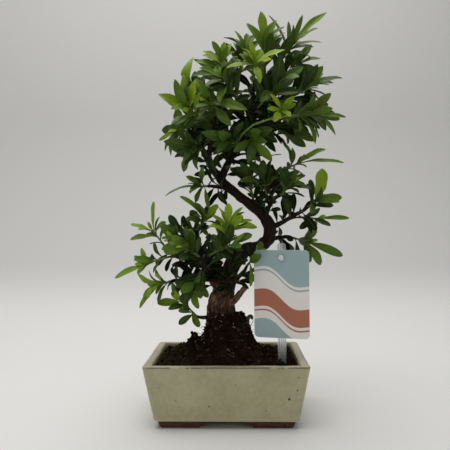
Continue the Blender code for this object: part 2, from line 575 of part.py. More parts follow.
def sprays():
    """All leafy shoots: name, limb, foot, tip, free leaves, leaf length, placed leaves."""
    return [
        Spray("apex_right", "leader", (52, 1, 356), (68, -2, 378), 4, 36, (
            (1.0, 104, -6, 411, 8, 0.06), (0.95, 80, -4, 408, 6, 0.02), (0.8, 46, 2, 412, 8, 0.05),
            (0.7, 98, -10, 378, 9, 0.12), (0.5, 90, 8, 370, 9, 0.1))),
        Spray("apex_middle", "leader", (41, -4, 354), (40, -9, 376), 4, 35, (
            (1.0, 37, -8, 411, 11, 0.05), (0.8, 23, -2, 402, 7, 0.05), (0.9, 52, -12, 398, 11, 0.08),
            (0.5, 60, -22, 384, 9, 0.1))),
        Spray("apex_left", "crown_upper_left", (14, -6, 350), (21, -6, 372), 3, 34, (
            (1.0, -2, -8, 384, 10, 0.14), (0.8, 10, -8, 390, 9, 0.12), (0.9, 30, -14, 392, 9, 0.1),
            (0.5, 0, 8, 376, 9, 0.12))),
        Spray("notch_left", "crown_upper_left", (-1, -14, 348), (-3, -23, 357), 2, 26, (
            (1.0, -21, -29, 363, 9, 0.05), (0.9, -12, -29, 369, 9, 0.05), (0.4, 7, -34, 372, 9, 0.1)), True),
        Spray("star_high", "crown_front", (29, -38, 338), (29, -46, 346), 4, 27, (
            (1.0, 58, -50, 355, 7, 0.08), (0.8, 0, -48, 339, 8, 0.1), (0.9, 44, -56, 344, 6, 0.08),
            (0.7, 33, -58, 322, 8, 0.12), (1.0, 25, -56, 362, 6, 0.05)), True),
        Spray("arch_left", "crown_upper_left", (-20, -9, 322), (-27, -11, 327), 3, 30, (
            (1.0, -31, -16, 362, 12, 0.34), (0.6, -30, -22, 346, 10, 0.12), (0.5, -50, -2, 334, 9, 0.1))),
        Spray("crest_left", "crown_upper_left", (-3, -16, 338), (1, -22, 346), 3, 32, (
            (0.8, -29, -24, 356, 9, 0.1), (0.3, -33, -28, 338, 10, 0.12), (0.9, 4, -40, 364, 9, 0.1))),
        Spray("left_high", "left_fork", (-33, -22, 300), (-33, -37, 308), 2, 32, (
            (0.4, -63, -44, 317, 11, 0.1), (0.9, -27, -47, 329, 12, 0.06), (0.6, -51, -44, 303, 9, 0.12),
            (0.8, -40, -36, 338, 8, 0.1))),
        Spray("left_low", "left_fork", (-38, -8, 288), (-46, -11, 290), 2, 27, (
            (1.0, -68, -10, 279, 6, 0.05), (0.8, -62, -14, 268, 8, 0.1), (0.5, -54, -20, 265, 9, 0.14),
            (0.9, -57, -8, 293, 9, 0.1), (0.5, -30, -28, 296, 10, 0.1), (0.3, -36, -34, 282, 10, 0.12))),
        Spray("left_hang", "left_fork", (-27, 4, 274), (-34, 8, 272), 4, 28, (
            (1.0, -46, 2, 253, 7, 0.1), (0.8, -60, 12, 276, 8, 0.12), (0.5, -38, -10, 257, 8, 0.1))),
        Spray("right_high", "crown_upper_right", (64, 2, 328), (84, 1, 338), 5, 34, (
            (0.9, 101, -4, 355, 9, 0.08), (1.0, 106, -6, 344, 9, 0.08), (0.6, 110, -2, 331, 9, 0.1),
            (0.4, 84, -24, 344, 9, 0.12))),
        Spray("right_shoulder", "leader", (56, 8, 348), (73, 10, 361), 5, 34, (
            (1.0, 100, 6, 366, 9, 0.1), (0.8, 92, 14, 384, 8, 0.1))),
        Spray("right_low", "crown_right", (68, -4, 302), (85, -9, 310), 4, 35, (
            (0.9, 107, -14, 324, 9, 0.1), (1.0, 106, -4, 316, 9, 0.08), (0.7, 88, -34, 322, 9, 0.12),
            (0.4, 92, -22, 300, 9, 0.1))),
        Spray("star_low", "crown_front_low", (49, -38, 298), (54, -46, 302), 1, 22, (
            (1.0, 43, -54, 313, 6, 0.05), (0.9, 65, -56, 310, 6, 0.05), (0.8, 62, -54, 292, 7, 0.08),
            (0.7, 46, -56, 287, 7, 0.08), (0.9, 40, -52, 300, 5, 0.05)), True),
        Spray("reach_right", "crown_front_low", (64, -28, 297), (84, -24, 302), 2, 32, (
            (1.0, 120, -22, 298, 6, 0.06), (0.9, 106, -26, 306, 8, 0.1), (0.8, 110, -22, 281, 8, 0.14),
            (0.5, 89, -24, 271, 8, 0.12), (0.3, 72, -36, 282, 7, 0.1))),
        Spray("under_right", "crown_right", (58, 16, 290), (68, 18, 293), 2, 28, (
            (1.0, 96, 14, 281, 8, 0.1), (0.7, 92, 24, 290, 8, 0.1), (0.3, 72, 6, 284, 8, 0.1))),
        Spray("under_middle", "crown_front_low", (24, -27, 280), (27, -33, 275), 3, 30, (
            (1.0, 46, -30, 254, 9, 0.12), (0.7, 8, -38, 262, 8, 0.1), (0.4, 40, -46, 270, 8, 0.12))),
        Spray("front_high", "crown_front", (12, -33, 316), (-2, -42, 336), 6, 34, (
            (0.8, -18, -50, 322, 9, 0.1), (1.0, 6, -60, 342, 9, 0.1), (0.6, -4, -56, 304, 10, 0.12))),
        Spray("front_middle", "crown_front", (38, -34, 312), (54, -43, 328), 6, 34, (
            (0.8, 70, -50, 330, 9, 0.1), (1.0, 52, -60, 338, 8, 0.1), (0.5, 34, -62, 306, 9, 0.12))),
        Spray("front_low", "crown_front_left", (-2, -34, 300), (-16, -42, 312), 6, 32, (
            (0.7, -24, -50, 292, 10, 0.1), (0.9, 22, -56, 298, 10, 0.1), (0.5, 6, -54, 284, 9, 0.12))),
        Spray("front_left", "crown_front_left", (-20, -30, 296), (-29, -40, 300), 5, 28, (
            (0.8, -22, -52, 316, 9, 0.1), (0.6, -46, -46, 290, 9, 0.12))),
        Spray("front_right", "crown_upper_right", (62, -14, 318), (82, -26, 328), 6, 36),
        Spray("back_high", "crown_back", (30, 40, 334), (42, 50, 356), 6, 35),
        Spray("back_left", "crown_back", (8, 36, 318), (-12, 46, 332), 6, 34),
        Spray("back_right", "crown_back", (44, 36, 316), (66, 46, 328), 6, 35),
        Spray("back_low", "crown_back_low", (-10, 32, 290), (-28, 42, 298), 6, 32),
        Spray("back_under", "crown_back_low", (8, 28, 286), (24, 40, 290), 5, 32),
        Spray("back_crest", "crown_upper_left", (4, 8, 338), (-8, 18, 358), 6, 33),
        Spray("back_side", "crown_right", (62, 20, 302), (84, 32, 312), 6, 34),
        Spray("heart", "crown_front_left", (2, -14, 288), (-12, -27, 302), 7, 31),
        Spray("under_left", "left_fork", (-20, -12, 268), (-32, -24, 272), 6, 29),
        Spray("under_front", "crown_front_low", (12, -18, 274), (2, -33, 280), 6, 29),
        Spray("mid_top", "middle_high", (66, 2, 252), (76, 0, 258), 0, 26, (
            (1.0, 103, -2, 270, 8, 0.1), (0.9, 122, -2, 256, 6, 0.06), (0.2, 63, -4, 275, 8, 0.05),
            (0.6, 84, -10, 262, 5, 0.05))),
        Spray("mid_crest", "middle_front", (40, -18, 228), (38, -24, 238), 6, 27, (
            (0.9, 37, -26, 256, 9, 0.1), (0.7, 14, -26, 236, 9, 0.1))),
        Spray("mid_heart", "middle_front", (57, -22, 224), (64, -31, 233), 6, 26, (
            (0.9, 73, -36, 230, 9, 0.14), (0.6, 52, -40, 246, 9, 0.12))),
        Spray("mid_right", "middle_right", (86, -6, 212), (90, -8, 216), 2, 30, (
            (1.0, 98, -10, 249, 17, 0.06), (0.8, 115, -10, 215, 7, 0.08), (0.4, 84, -22, 203, 8, 0.1))),
        Spray("mid_reach", "middle_right", (84, 4, 200), (94, 6, 200), 0, 32, (
            (1.0, 128, 4, 199, 6, 0.05), (0.5, 90, 8, 180, 8, 0.1), (0.4, 74, -10, 188, 8, 0.1))),
        Spray("mid_low", "middle_low", (72, 4, 178), (80, 0, 176), 2, 32, (
            (1.0, 119, -4, 160, 10, 0.14), (0.8, 88, -2, 190, 8, 0.08), (0.5, 88, 8, 160, 8, 0.1))),
        Spray("mid_fill", "middle_high", (27, -6, 224), (24, -15, 238), 7, 26, (
            (0.9, 10, -22, 250, 9, 0.1), (0.8, 30, -26, 259, 9, 0.12))),
        Spray("mid_back", "middle_back", (47, 28, 228), (62, 38, 238), 6, 29),
        Spray("side_left", "middle_left", (-20, -10, 232), (-26, -11, 232), 0, 26, (
            (1.0, -62, -12, 222, 8, 0.12), (0.9, -40, -14, 242, 8, 0.08), (0.5, -22, -20, 251, 10, 0.05),
            (0.7, -36, -18, 224, 5, 0.1), (0.4, -29, -16, 216, 6, 0.1), (0.2, -16, -18, 207, 5, 0.06))),
        Spray("low_crest", "low_left", (-26, -12, 192), (-20, -17, 199), 3, 25, (
            (0.8, -46, -16, 222, 8, 0.14), (1.0, -8, -18, 213, 8, 0.08), (0.5, -40, -20, 199, 8, 0.1),
            (0.9, -25, -26, 211, 8, 0.08))),
        Spray("low_bright", "low_shoot", (1, -30, 176), (2, -33, 194), 3, 26, (
            (1.0, 3, -34, 213, 9, 0.05), (0.95, 17, -36, 209, 6, 0.08), (0.7, -17, -38, 190, 9, 0.12),
            (0.6, 31, -36, 189, 11, 0.1), (0.85, 26, -32, 197, 6, 0.08)), True),
        Spray("low_right", "low_right", (23, -16, 154), (29, -19, 162), 4, 25, (
            (0.9, 34, -22, 177, 8, 0.1), (0.3, 34, -34, 142, 11, 0.1), (0.1, 24, -38, 133, 5, 0.06))),
        Spray("far_tip", "low_far", (-66, -10, 176), (-74, -12, 188), 1, 22, (
            (1.0, -97, -12, 194, 7, 0.05), (0.9, -73, -14, 217, 6, 0.03), (0.5, -97, -14, 178, 8, 0.08),
            (0.8, -60, -18, 196, 8, 0.08)), True),
        Spray("far_top", "low_left", (-40, -8, 184), (-47, -13, 187), 4, 23, (
            (1.0, -61, -15, 191, 10, 0.06), (0.8, -43, -22, 193, 8, 0.08))),
        Spray("far_left", "low_far", (-68, -14, 158), (-80, -16, 155), 1, 24, (
            (0.7, -85, -18, 170, 9, 0.06), (1.0, -112, -18, 140, 10, 0.06),
            (0.5, -86, -22, 144, 9, 0.1)), True),
        Spray("outer_left", "low_outer", (-57, -18, 136), (-66, -20, 134), 4, 26, (
            (1.0, -86, -22, 110, 8, 0.1), (0.7, -82, -26, 122, 8, 0.1), (0.4, -66, -36, 146, 9, 0.08))),
        Spray("front_low_left", "low_front", (-26, -36, 162), (-38, -46, 172), 6, 26, (
            (0.9, -50, -50, 182, 9, 0.1),)),
        Spray("front_low_mid", "low_front", (-10, -32, 166), (7, -40, 176), 6, 24),
        Spray("front_low_under", "low_front", (-25, -27, 146), (-32, -33, 134), 5, 24, (
            (1.0, -27, -34, 111, 9, 0.1), (0.7, -41, -38, 117, 9, 0.1), (0.4, -17, -34, 122, 8, 0.1))),
        Spray("low_inner", "low_left", (-36, -14, 170), (-50, -21, 178), 7, 26),
        Spray("back_low_left", "low_back", (-30, 28, 170), (-46, 36, 178), 6, 27),
        Spray("back_low_mid", "low_back_right", (2, 32, 164), (-8, 42, 176), 6, 27),
        Spray("root_shoot", "sucker", (-31, -15, 102), (-45, -19, 119), 0, 24, (
            (1.0, -54, -20, 135, 8, 0.06), (0.9, -69, -20, 115, 9, 0.08), (0.6, -40, -24, 134, 6, 0.05),
            (0.1, -48, -16, 93, 8, 0.05), (0.3, -26, -26, 92, 8, 0.05)), True),
    ]


def half_width(width, share):
    """Half the blade's width at a share of its length: a narrow stalk, then a lance shape."""
    if share <= PETIOLE:
        return LEAF_ROOT
    part = (share - PETIOLE) / (1 - PETIOLE)
    return max(0.5 * width * max(math.sin(math.pi * part ** 1.15), 0.0) ** 0.75, LEAF_ROOT * (1 - part))


class Leaf:
    """One blade from a root on its stem to a tip, arched along and folded along its rib."""

    def __init__(self, root, tip, face, width, arch, fold):
        self.root = root
        self.tip = tip
        self.axis = (tip - root).normalized()
        self.face = (face - self.axis * face.dot(self.axis)).normalized()
        self.side = self.axis.cross(self.face)
        self.width = width
        self.arch = arch
        self.fold = fold

    def rib(self, share):
        reach = (self.tip - self.root).length
        rise = self.arch * reach * 4 * share * (1 - share)
        return self.root.lerp(self.tip, share) + self.face * rise

    def shape(self, grow=0.0, start=0.0):
        """Points and faces of the blade: keeled three-sided sections that run out to a tip."""
        points = []
        for share in (start, *LEAF_STATIONS):
            middle = self.rib(share)
            wide = half_width(self.width, share) * (LEAF_SWELL if share > PETIOLE else 1.0) + grow
            lift = self.face * (max(wide * self.fold, LEAF_ROOT) + grow)
            keel = self.face * (LEAF_KEEL + grow)
            points += [middle - self.side * wide + lift, middle - keel, middle + self.side * wide + lift]
        points.append(self.tip + self.axis * grow)
        faces = [(0, 2, 1), (6, 7, 9), (7, 8, 9), (8, 6, 9)]
        for k in range(3):
            a, b = k, (k + 1) % 3
            faces += [(a, b, b + 3, a + 3), (a + 3, b + 3, b + 6), (a + 3, b + 6, a + 6)]
        return points, faces


def tree_of(shape):
    return BVHTree.FromPolygons([tuple(p) for p in shape[0]], shape[1])


def box_of(shape):
    low = [min(p[k] for p in shape[0]) for k in range(3)]
    high = [max(p[k] for p in shape[0]) for k in range(3)]
    return low, high


def boxes_meet(a, b):
    return all(a[0][k] <= b[1][k] and b[0][k] <= a[1][k] for k in range(3))


class Obstacles:
    """What a new leaf has to stay clear of, each with the spray it belongs to."""

    def __init__(self):
        self.rows = []

    def add(self, owner, whole, outer=None):
        outer_tree = tree_of(outer) if outer else tree_of(whole)
        self.rows.append((owner, box_of(whole), tree_of(whole), outer_tree))

    def touched(self, owner, whole, outer):
        """Whether a leaf meets something else, or its outer part meets a leaf of its own spray."""
        whole_box, outer_box = box_of(whole), box_of(outer)
        whole_tree, outer_tree = tree_of(whole), tree_of(outer)
        for other, box, other_whole, other_outer in self.rows:
            if other == owner:
                if boxes_meet(outer_box, box) and other_outer.overlap(outer_tree):
                    return True
            elif boxes_meet(whole_box, box) and other_whole.overlap(whole_tree):
                return True
        return False


def facing(root, axis, along):
    """The side that a blade turns to the light: up, out of its crown and along its shoot."""
    heart = min((at(*c) for c in CROWN_HEARTS), key=lambda c: (c - root).length)
    out = (root - heart) * HEART_PULL
    out.y = math.copysign(max(abs(out.y), FRONT_DEPTH), out.y)
    want = (along + UP) * FACE_UPWARD + out.normalized() * FACE_OUTWARD
    face = want - axis * want.dot(axis)
    if face.length < FLAT_FACE:
        face = axis.orthogonal()
    return face.normalized()


def placed_leaf(spray, index, tries):
    """A leaf whose tip is given, nudged a little further at each try."""
    share, x, y, z, width, arch = spray.leaves[index]
    chance = spray.chance("placed", index, tries)
    root, along = spray.on_stem(1 - (1 - share) * spray.top_share)
    slip = min(tries, SLIP_STEPS) * SLIP
    drift = Vector([chance.uniform(-slip, slip) for _ in range(3)])
    tip = at(x, y, z) + drift * SLIP_SHARES
    axis = (tip - root).normalized()
    return Leaf(root, tip, facing(root, axis, along), width * MM, arch, LEAF_FOLD)


def free_leaf(spray, index, tries):
    """A leaf of the spiral round the stem, turned a little further at each try.

    Leaves near the shoot's tip point more along it, and all lean out of their crown."""
    chance = spray.chance("free", index, tries)
    share = SPIRAL_START + SPIRAL_RUN * (index + 0.5) / spray.count
    root, along = spray.on_stem(share)
    wander = WANDER + WANDER_STEP * tries
    turn = index * GOLDEN_ANGLE + spray.count + chance.uniform(-wander, wander)
    opening = OPEN_LOW + (OPEN_TIP - OPEN_LOW) * share + chance.uniform(-wander, wander) * 0.5
    side = along.orthogonal().normalized()
    out = math.cos(turn) * side + math.sin(turn) * along.cross(side)
    heart = min((at(*c) for c in CROWN_HEARTS), key=lambda c: (c - root).length)
    pull = (root - heart).normalized() * LEAF_PULL + UP * LEAF_LIFT
    axis = (math.cos(opening) * along + math.sin(opening) * out + pull).normalized()
    reach = spray.length * chance.uniform(*LEAF_LENGTHS) * (1 - LEAF_SHORTEN * tries)
    face = facing(root, axis, along)
    face.rotate(Quaternion(axis, chance.uniform(-LEAF_ROLL, LEAF_ROLL)))
    width, arch = chance.uniform(*LEAF_WIDTHS), chance.uniform(*LEAF_ARCHES)
    return Leaf(root, root + axis * reach, face, width, arch, LEAF_FOLD)


def grow_leaves(shoots, obstacles):
    """Grows the hand-placed leaves of every spray first, then the free ones."""
    for grow in (placed_leaf, free_leaf):
        for spray in shoots:
            count = len(spray.leaves) if grow == placed_leaf else spray.count
            for index in range(count):
                for tries in range(LEAF_TRIES):
                    leaf = grow(spray, index, tries)
                    whole = leaf.shape(grow=LEAF_CLEARANCE)
                    outer = leaf.shape(grow=LEAF_CLEARANCE, start=OWN_START)
                    if not obstacles.touched(spray.name, whole, outer):
                        obstacles.add(spray.name, leaf.shape(), leaf.shape(start=OWN_START))
                        spray.placed.append(leaf)
                        break


def twig_path(spray, start, radius):
    """Wood from a point of the spray's limb to its foot, ending square to the shoot."""
    span = (spray.foot - start).length
    places = bezier(start, spray.foot - spray.heading * (0.45 * span), spray.foot, 2)
    radii = (radius, (radius + STEM_RADIUS) / 2, STEM_RADIUS)
    return list(zip(places, radii))


def limb_shapes(shoots):
    """All limbs, each run on to its nearest spray, and the other sprays' twigs, as shapes."""
    shapes = []
    for name, points in LIMBS.items():
        path = smooth_path(points, 1)
        mine = sorted((s for s in shoots if s.limb == name), key=lambda s: (s.foot - path[-1][0]).length)
        twigs = []
        for spray in mine[1:]:
            reach = [(p - spray.foot).length for p, _ in path]
            start = path[max(reach.index(min(reach)) - 1, 0)][0]
            twigs.append(tube(twig_path(spray, start, TWIG_RADIUS), TWIG_SIDES, end=spray.heading))
        if mine:
            path += twig_path(mine[0], *path[-1])[1:]
        end = mine[0].heading if mine else None
        shapes += [tube(path, LIMB_SIDES, end=end)] + twigs
    return shapes


def make_wood(shoots, look):
    """The trunk with its limbs and twigs, fused into one solid, and the parts' shapes."""
    shapes = [tube(trunk_path(), TRUNK_SIDES, TRUNK_FLUTES)]
    shapes += limb_shapes(shoots)
    trunk = solid("wood", *shapes[0], look)
    others = [solid(f"limb_{i}", *shape, look) for i, shape in enumerate(shapes[1:])]
    return combine(trunk, others, "UNION"), shapes


def make_spray(spray, look):
    stem = solid(spray.name, *spray.stem_shape(), look)
    leaves = [solid(f"leaf_{i}", *leaf.shape(), look) for i, leaf in enumerate(spray.placed)]
    return combine(stem, leaves, "UNION")


def world_shape(obj):
    mesh = obj.data
    return ([obj.matrix_world @ v.co for v in mesh.vertices], [tuple(p.vertices) for p in mesh.polygons])


def stand_on_origin(objects):
    """Shifts the whole so that the middle of its box lies over the origin."""
    points = [obj.matrix_world @ v.co for obj in objects for v in obj.data.vertices]
    middle = [(min(p[k] for p in points) + max(p[k] for p in points)) / 2 for k in range(2)]
    for obj in objects:
        obj.matrix_world = Matrix.Translation((-middle[0], -middle[1], 0.0)) @ obj.matrix_world


def main():
    clear_scene()
    glaze = material("celadon_glaze", (0.42, 0.40, 0.29), 0.3)
    earth = material("potting_soil", (0.022, 0.016, 0.012), 0.95)
    bark = material("bark", (0.12, 0.06, 0.04), 0.85)
    green = material("leaf_green", (0.05, 0.13, 0.02), 0.4)
    lime = material("young_leaf", (0.16, 0.30, 0.03), 0.4)
    card_print = material("card_print", (0.62, 0.60, 0.56), 0.35)
    clear = material("clear_plastic", (0.55, 0.55, 0.58), 0.2)

    pot = make_pot(glaze)
    card = make_card(card_print)
    stake = make_stake(clear)
    bpy.context.view_layer.update()
    soil = make_soil(earth, [trunk_hole(earth), sucker_hole(earth), stake_hole(earth)])

    shoots = sprays()
    limbs = [smooth_path(points, 1) for points in LIMBS.values()] + [trunk_path()]
    for spray in shoots:
        spray.set_back(limbs)
    wood, wood_shapes = make_wood(shoots, bark)
    obstacles = Obstacles()
    for shape in wood_shapes + [world_shape(o) for o in (pot, card, stake, soil)]:
        obstacles.add("frame", shape)
    for spray in shoots:
        obstacles.add(spray.name, spray.stem_shape())
    grow_leaves(shoots, obstacles)
    leafy = [make_spray(spray, lime if spray.young else green) for spray in shoots]
    stand_on_origin([pot, card, stake, soil, wood] + leafy)


main()
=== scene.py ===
"""The looks of a firethorn bonsai: curved glossy leaves, flaky bark, crumbly soil, worn glaze
and a printed card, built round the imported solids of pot, soil, wood, sprays and plant tag.

Units are metres with +Z up. As in the solids, everything is laid out round the middle of the
pot, in millimetres times MM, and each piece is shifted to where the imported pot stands.
"""
import math
import random

import bmesh
import bpy
import numpy as np
from mathutils import Matrix, Quaternion, Vector, noise
from mathutils.bvhtree import BVHTree
from mathutils.kdtree import KDTree


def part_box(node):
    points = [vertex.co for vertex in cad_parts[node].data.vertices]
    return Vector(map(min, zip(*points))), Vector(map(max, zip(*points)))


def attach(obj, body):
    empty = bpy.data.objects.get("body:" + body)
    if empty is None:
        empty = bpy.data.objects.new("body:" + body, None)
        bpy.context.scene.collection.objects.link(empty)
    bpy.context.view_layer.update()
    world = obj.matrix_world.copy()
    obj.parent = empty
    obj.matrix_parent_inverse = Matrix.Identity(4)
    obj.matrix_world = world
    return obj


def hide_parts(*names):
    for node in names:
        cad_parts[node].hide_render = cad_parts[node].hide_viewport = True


MM = 0.001
GAP = 0.3 * MM
UP = Vector((0.0, 0.0, 1.0))
TOWARDS_FRONT = Vector((0, -1, 0))
GOLDEN_ANGLE = math.radians(137.5)
# The most that a turn by chance comes to, nearly all the way round
SOME_TURN = 6.3
# Sides of round bars and holes
ROUND_SIDES = 32

# Pot
POT_WIDTH = 156.5 * MM
POT_DEPTH = 111 * MM
POT_HEIGHT = 60.4 * MM
POT_TAPER = 9 * MM
POT_CORNER = 5.5 * MM
CORNER_STEPS = 9
LIP_WIDTH = 8.5 * MM
LIP_ROUND = 1.6 * MM
BASE_ROUND = 1.4 * MM
FLOOR_THICKNESS = 8 * MM
FOOT_HEIGHT = 7.2 * MM
FOOT_WIDTH = 13 * MM
FOOT_INSET = 2.5 * MM
FOOT_DRAFT = 2.5 * MM
FOOT_GAP_FRONT = 44 * MM
FOOT_GAP_SIDE = 30 * MM
FOOT_SLOPE = 7 * MM
FOOT_SUNK = 1.5 * MM
DRAIN_RADIUS = 6 * MM
DRAIN_SPACING = 64 * MM
GLAZE_END = 0.3 * MM
POT_SHARP = math.radians(50)

# Soil
SOIL_DROP = 3.2 * MM
SOIL_EDGE = POT_HEIGHT - SOIL_DROP
SOIL_CLEARANCE = 0.4 * MM
MOUND_CENTRE = Vector((0.0, 0.0, 0.0))
BALL_HEIGHT = 26 * MM
BALL_RADIUS = 15 * MM
BALL_SPREADS = (8 * MM, 12 * MM)
SKIRT_HEIGHT = 17 * MM
SKIRT_SPREADS = (32 * MM, 24 * MM)
MOUND_LOBES = 0.1
CLUMP = Vector((-34 * MM, -7 * MM, 0.0))
CLUMP_HEIGHT = 16 * MM
CLUMP_SPREAD = 7 * MM
CRUMB_HEIGHT = 3.2 * MM
CRUMB_PITCH = 20 * MM
CRUMB_PUSH = 1.5 * MM
# Pitch of the swells, clods and grains, and their height in millimetres
SOIL_FORMS = ((9 * MM, 1.5), (4.2 * MM, 1.6), (1.9 * MM, 0.7))
MOSS_EDGE = (-22 * MM, -50 * MM)
MOSS_HEIGHTS = (66 * MM, 78 * MM)
SOIL_CELL = 0.95 * MM
MOUND_REACH = 34 * MM
LUMP_COUNT = 1500
LUMP_SHARES = ((0.8, 1.5), (0.7, 1.1), (0.5, 0.9))
CHIP_COUNT = 170
CHIP_SIZES = (0.9, 1.7)
CHIP_SHARES = (1.7, 0.7, 0.3)
ROOT_COUNT = 80
ROOT_SIDES = 5
ROOT_PLACES = (14, 34)
ROOT_LENGTHS = (4, 12)
ROOT_RADII = (0.16, 0.34)
ROOT_AGES = (0.05, 0.3, 0.7, 0.9)

# Plant tag
CARD_WIDTH = 54 * MM
CARD_HEIGHT = 85.6 * MM
CARD_THICKNESS = 0.8 * MM
CARD_CORNER = 4.5 * MM
CARD_SOFT = 0.25 * MM
CARD_HOLE_RADIUS = 3 * MM
CARD_HOLE_DROP = 7.5 * MM
HOLE_HEIGHT = CARD_HEIGHT / 2 - CARD_HOLE_DROP
CARD_PLACE = Vector((54 * MM, -28 * MM, 124.5 * MM))
CARD_YAW = math.radians(-13)
TAG_SHARP = math.radians(35)
STAKE_WIDTH = 8 * MM
STAKE_WEB = 1.4 * MM
STAKE_RIB = 2.2 * MM
STAKE_TOP = 174 * MM
STAKE_FOOT = 24 * MM
STAKE_POINT = 12 * MM
# How far under its top the stake starts to round off, in millimetres, and its share of the width there
STAKE_END = ((4, 1.0), (2, 0.93), (0.7, 0.78), (0, 0.6))
PEG_RADIUS = 2.5 * MM
PEG_HEAD_RADIUS = 3.7 * MM
PEG_HEAD = 0.8 * MM
# Shares of the head's thickness, and how many millimetres less its radius is there
PEG_ROUNDING = ((0, 0.2), (0.25, 0), (0.6, 0.15), (1, 0.9))

# Leaves
SEED = 11
LEAF_KEEL = 0.3 * MM
LEAF_ROOT = 0.45 * MM
PETIOLE = 0.1
LEAF_FOLD = 0.22
LEAF_WIDTHS = (9 * MM, 11.5 * MM)
LEAF_ARCHES = (0.06, 0.14)
LEAF_LENGTHS = (0.85, 1.12)
LEAF_SHORTEN = 0.012
SPIRAL_START = 0.12
SPIRAL_RUN = 0.84
OPEN_LOW = math.radians(60)
OPEN_TIP = math.radians(32)
WANDER = 0.12
WANDER_STEP = 0.1
LEAF_LIFT = 0.12
LEAF_PULL = 0.3
LEAF_ROLL = 0.5
SLIP = 0.8 * MM
SLIP_STEPS = 10
SLIP_SHARES = Vector((0.4, 1.6, 0.4))
CROWN_HEARTS = ((24, 14, 318), (58, 14, 206), (-26, 10, 158))
LEAF_STATIONS = (0.32, 0.7)
LEAF_SWELL = 1.08
LEAF_CLEARANCE = 0.4 * MM
LEAF_TRIES = 16
FACE_OUTWARD = 0.8
FACE_UPWARD = 0.35
FRONT_DEPTH = 25 * MM
HEART_PULL = 0.3
FLAT_FACE = 0.2
OWN_START = 0.14
STEM_SIDES = 5
STEM_RADIUS = 1.15 * MM
STEM_RUN = 8 * MM
FOOT_CLEARANCE = 3.5 * MM
STEM_TIP_RADIUS = 0.75 * MM
STEM_SAG = 0.08
TWIG_RADIUS = 1.5 * MM
TWIG_SIDES = 4
LIMB_SIDES = 5
TRUNK_SIDES = 12
TRUNK_FLUTES = 0.06
FLUTES = ((3, 1.0, 0.35), (5, 0.6, -0.5))

# The fine blade: places along and across it, its thickness and what chance does to it
BLADE_ALONG = (0, 0.05, 0.1, 0.15, 0.22, 0.32, 0.43, 0.54, 0.65, 0.76, 0.86, 0.94)
BLADE_ACROSS = (-1, -0.93, -0.6, -0.25, 0, 0.25, 0.6, 0.93, 1)
BLADE_THICKNESS = 0.36 * MM
BLADE_TWISTS = (-0.45, 0.45)
BLADE_WAVES = (0.06, 0.2)
BLADE_RIPPLES = (7, 13)
BLADE_FOLDS = (0.6, 1.5)
BLADE_CURLS = (-0.02, 0.05)
BLADE_OPENS = (0.07, 0.2)
TWIST_START = 0.15
WAVE_SHIFT = 1.4
RIB_GROOVE = 0.1 * MM
RIB_HEIGHT = 0.42 * MM
BLUNT_HEIGHTS = (200 * MM, 260 * MM)

# What is added to the solids' leaves, with lengths in millimetres and angles in degrees
EXTRA_LEAVES = 6
EXTRA_LENGTHS = (0.62, 0.92)
EXTRA_ANGLES = (42, 74)
EXTRA_TRIES = 5
EXTRA_CLEARANCE = 0.15 * MM
TIP_LEAVES = 3
TIP_LENGTHS = (9, 15)
TIP_ANGLES = (12, 34)
SPUR_LEAVES = 2
SPUR_LENGTHS = (15, 26)
SPUR_ANGLES = (5, 45)
SPUR_START = 0.25
SPREAD_WIDTHS = (0.28, 0.36)
SPREAD_ARCHES = (0.05, 0.14)
BARE_LIMBS = ("cut_stub", "bare_twig", "sucker")

# How light leaves are, from 0 to 1: by spray, and more for single leaves. Besides the leaves' own age,
# the spray tones hold painted light: sprays high and outside in the crown are lighter, those low and inside
# darker
TONE = 0.36
TONE_RISE = 0.14
TONE_SPREAD = 0.14
# Painted shade: the inner tufts of each crown get a near-black tone for the shade they sit in
TUFT_SHADE_TONE = 0.1
TUFT_SPREAD = 0.12
EXTRA_LIGHTER = -0.13
TIP_LIGHTER = 0.45
# Partly painted light: sprays high and outside in the crown lighter, low and inside darker; young shoots
# lighter by their own colour
TONES = {
    "apex_right": 0.5, "apex_middle": 0.55, "apex_left": 0.5, "notch_left": 0.78, "star_high": 0.85,
    "arch_left": 0.55, "crest_left": 0.5, "left_high": 0.58, "star_low": 0.88, "reach_right": 0.5,
    "right_shoulder": 0.42, "mid_top": 0.62, "mid_right": 0.5, "mid_low": 0.42, "side_left": 0.55,
    "low_crest": 0.5, "low_bright": 0.9, "far_tip": 0.68, "far_left": 0.7, "outer_left": 0.7,
    "front_low_left": 0.42, "front_low_under": 0.38, "left_hang": 0.44, "left_low": 0.46, "front_left": 0.52,
    "front_high": 0.4, "front_low": 0.42, "under_front": 0.4, "under_middle": 0.42, "root_shoot": 0.55,
    "low_right": 0.42,
}
LIGHTER = {
    "apex_right": (0.15, 0.08, 0.05, 0.02), "apex_middle": (0.15, -0.08, 0.1, 0.02),
    "apex_left": (0.12, 0.06, 0.06), "arch_left": (0.05,),
    "left_high": (0.12, 0.24, 0.02, 0.06), "left_low": (0.1, 0.0, 0.12, 0.05),
    "mid_right": (0.22, 0.08, -0.1), "mid_top": (0.05, 0.1, -0.15, -0.1), "mid_reach": (0.1, -0.1, -0.1),
    "mid_low": (0.1, -0.05, 0.0), "right_high": (0.06, 0.1, 0.02), "right_low": (0.06, 0.08, -0.05),
    "low_right": (0.05, 0.25, 0.1), "low_crest": (0.12, 0.2, 0.0, 0.12), "front_middle": (0.05, -0.05, -0.1),
}

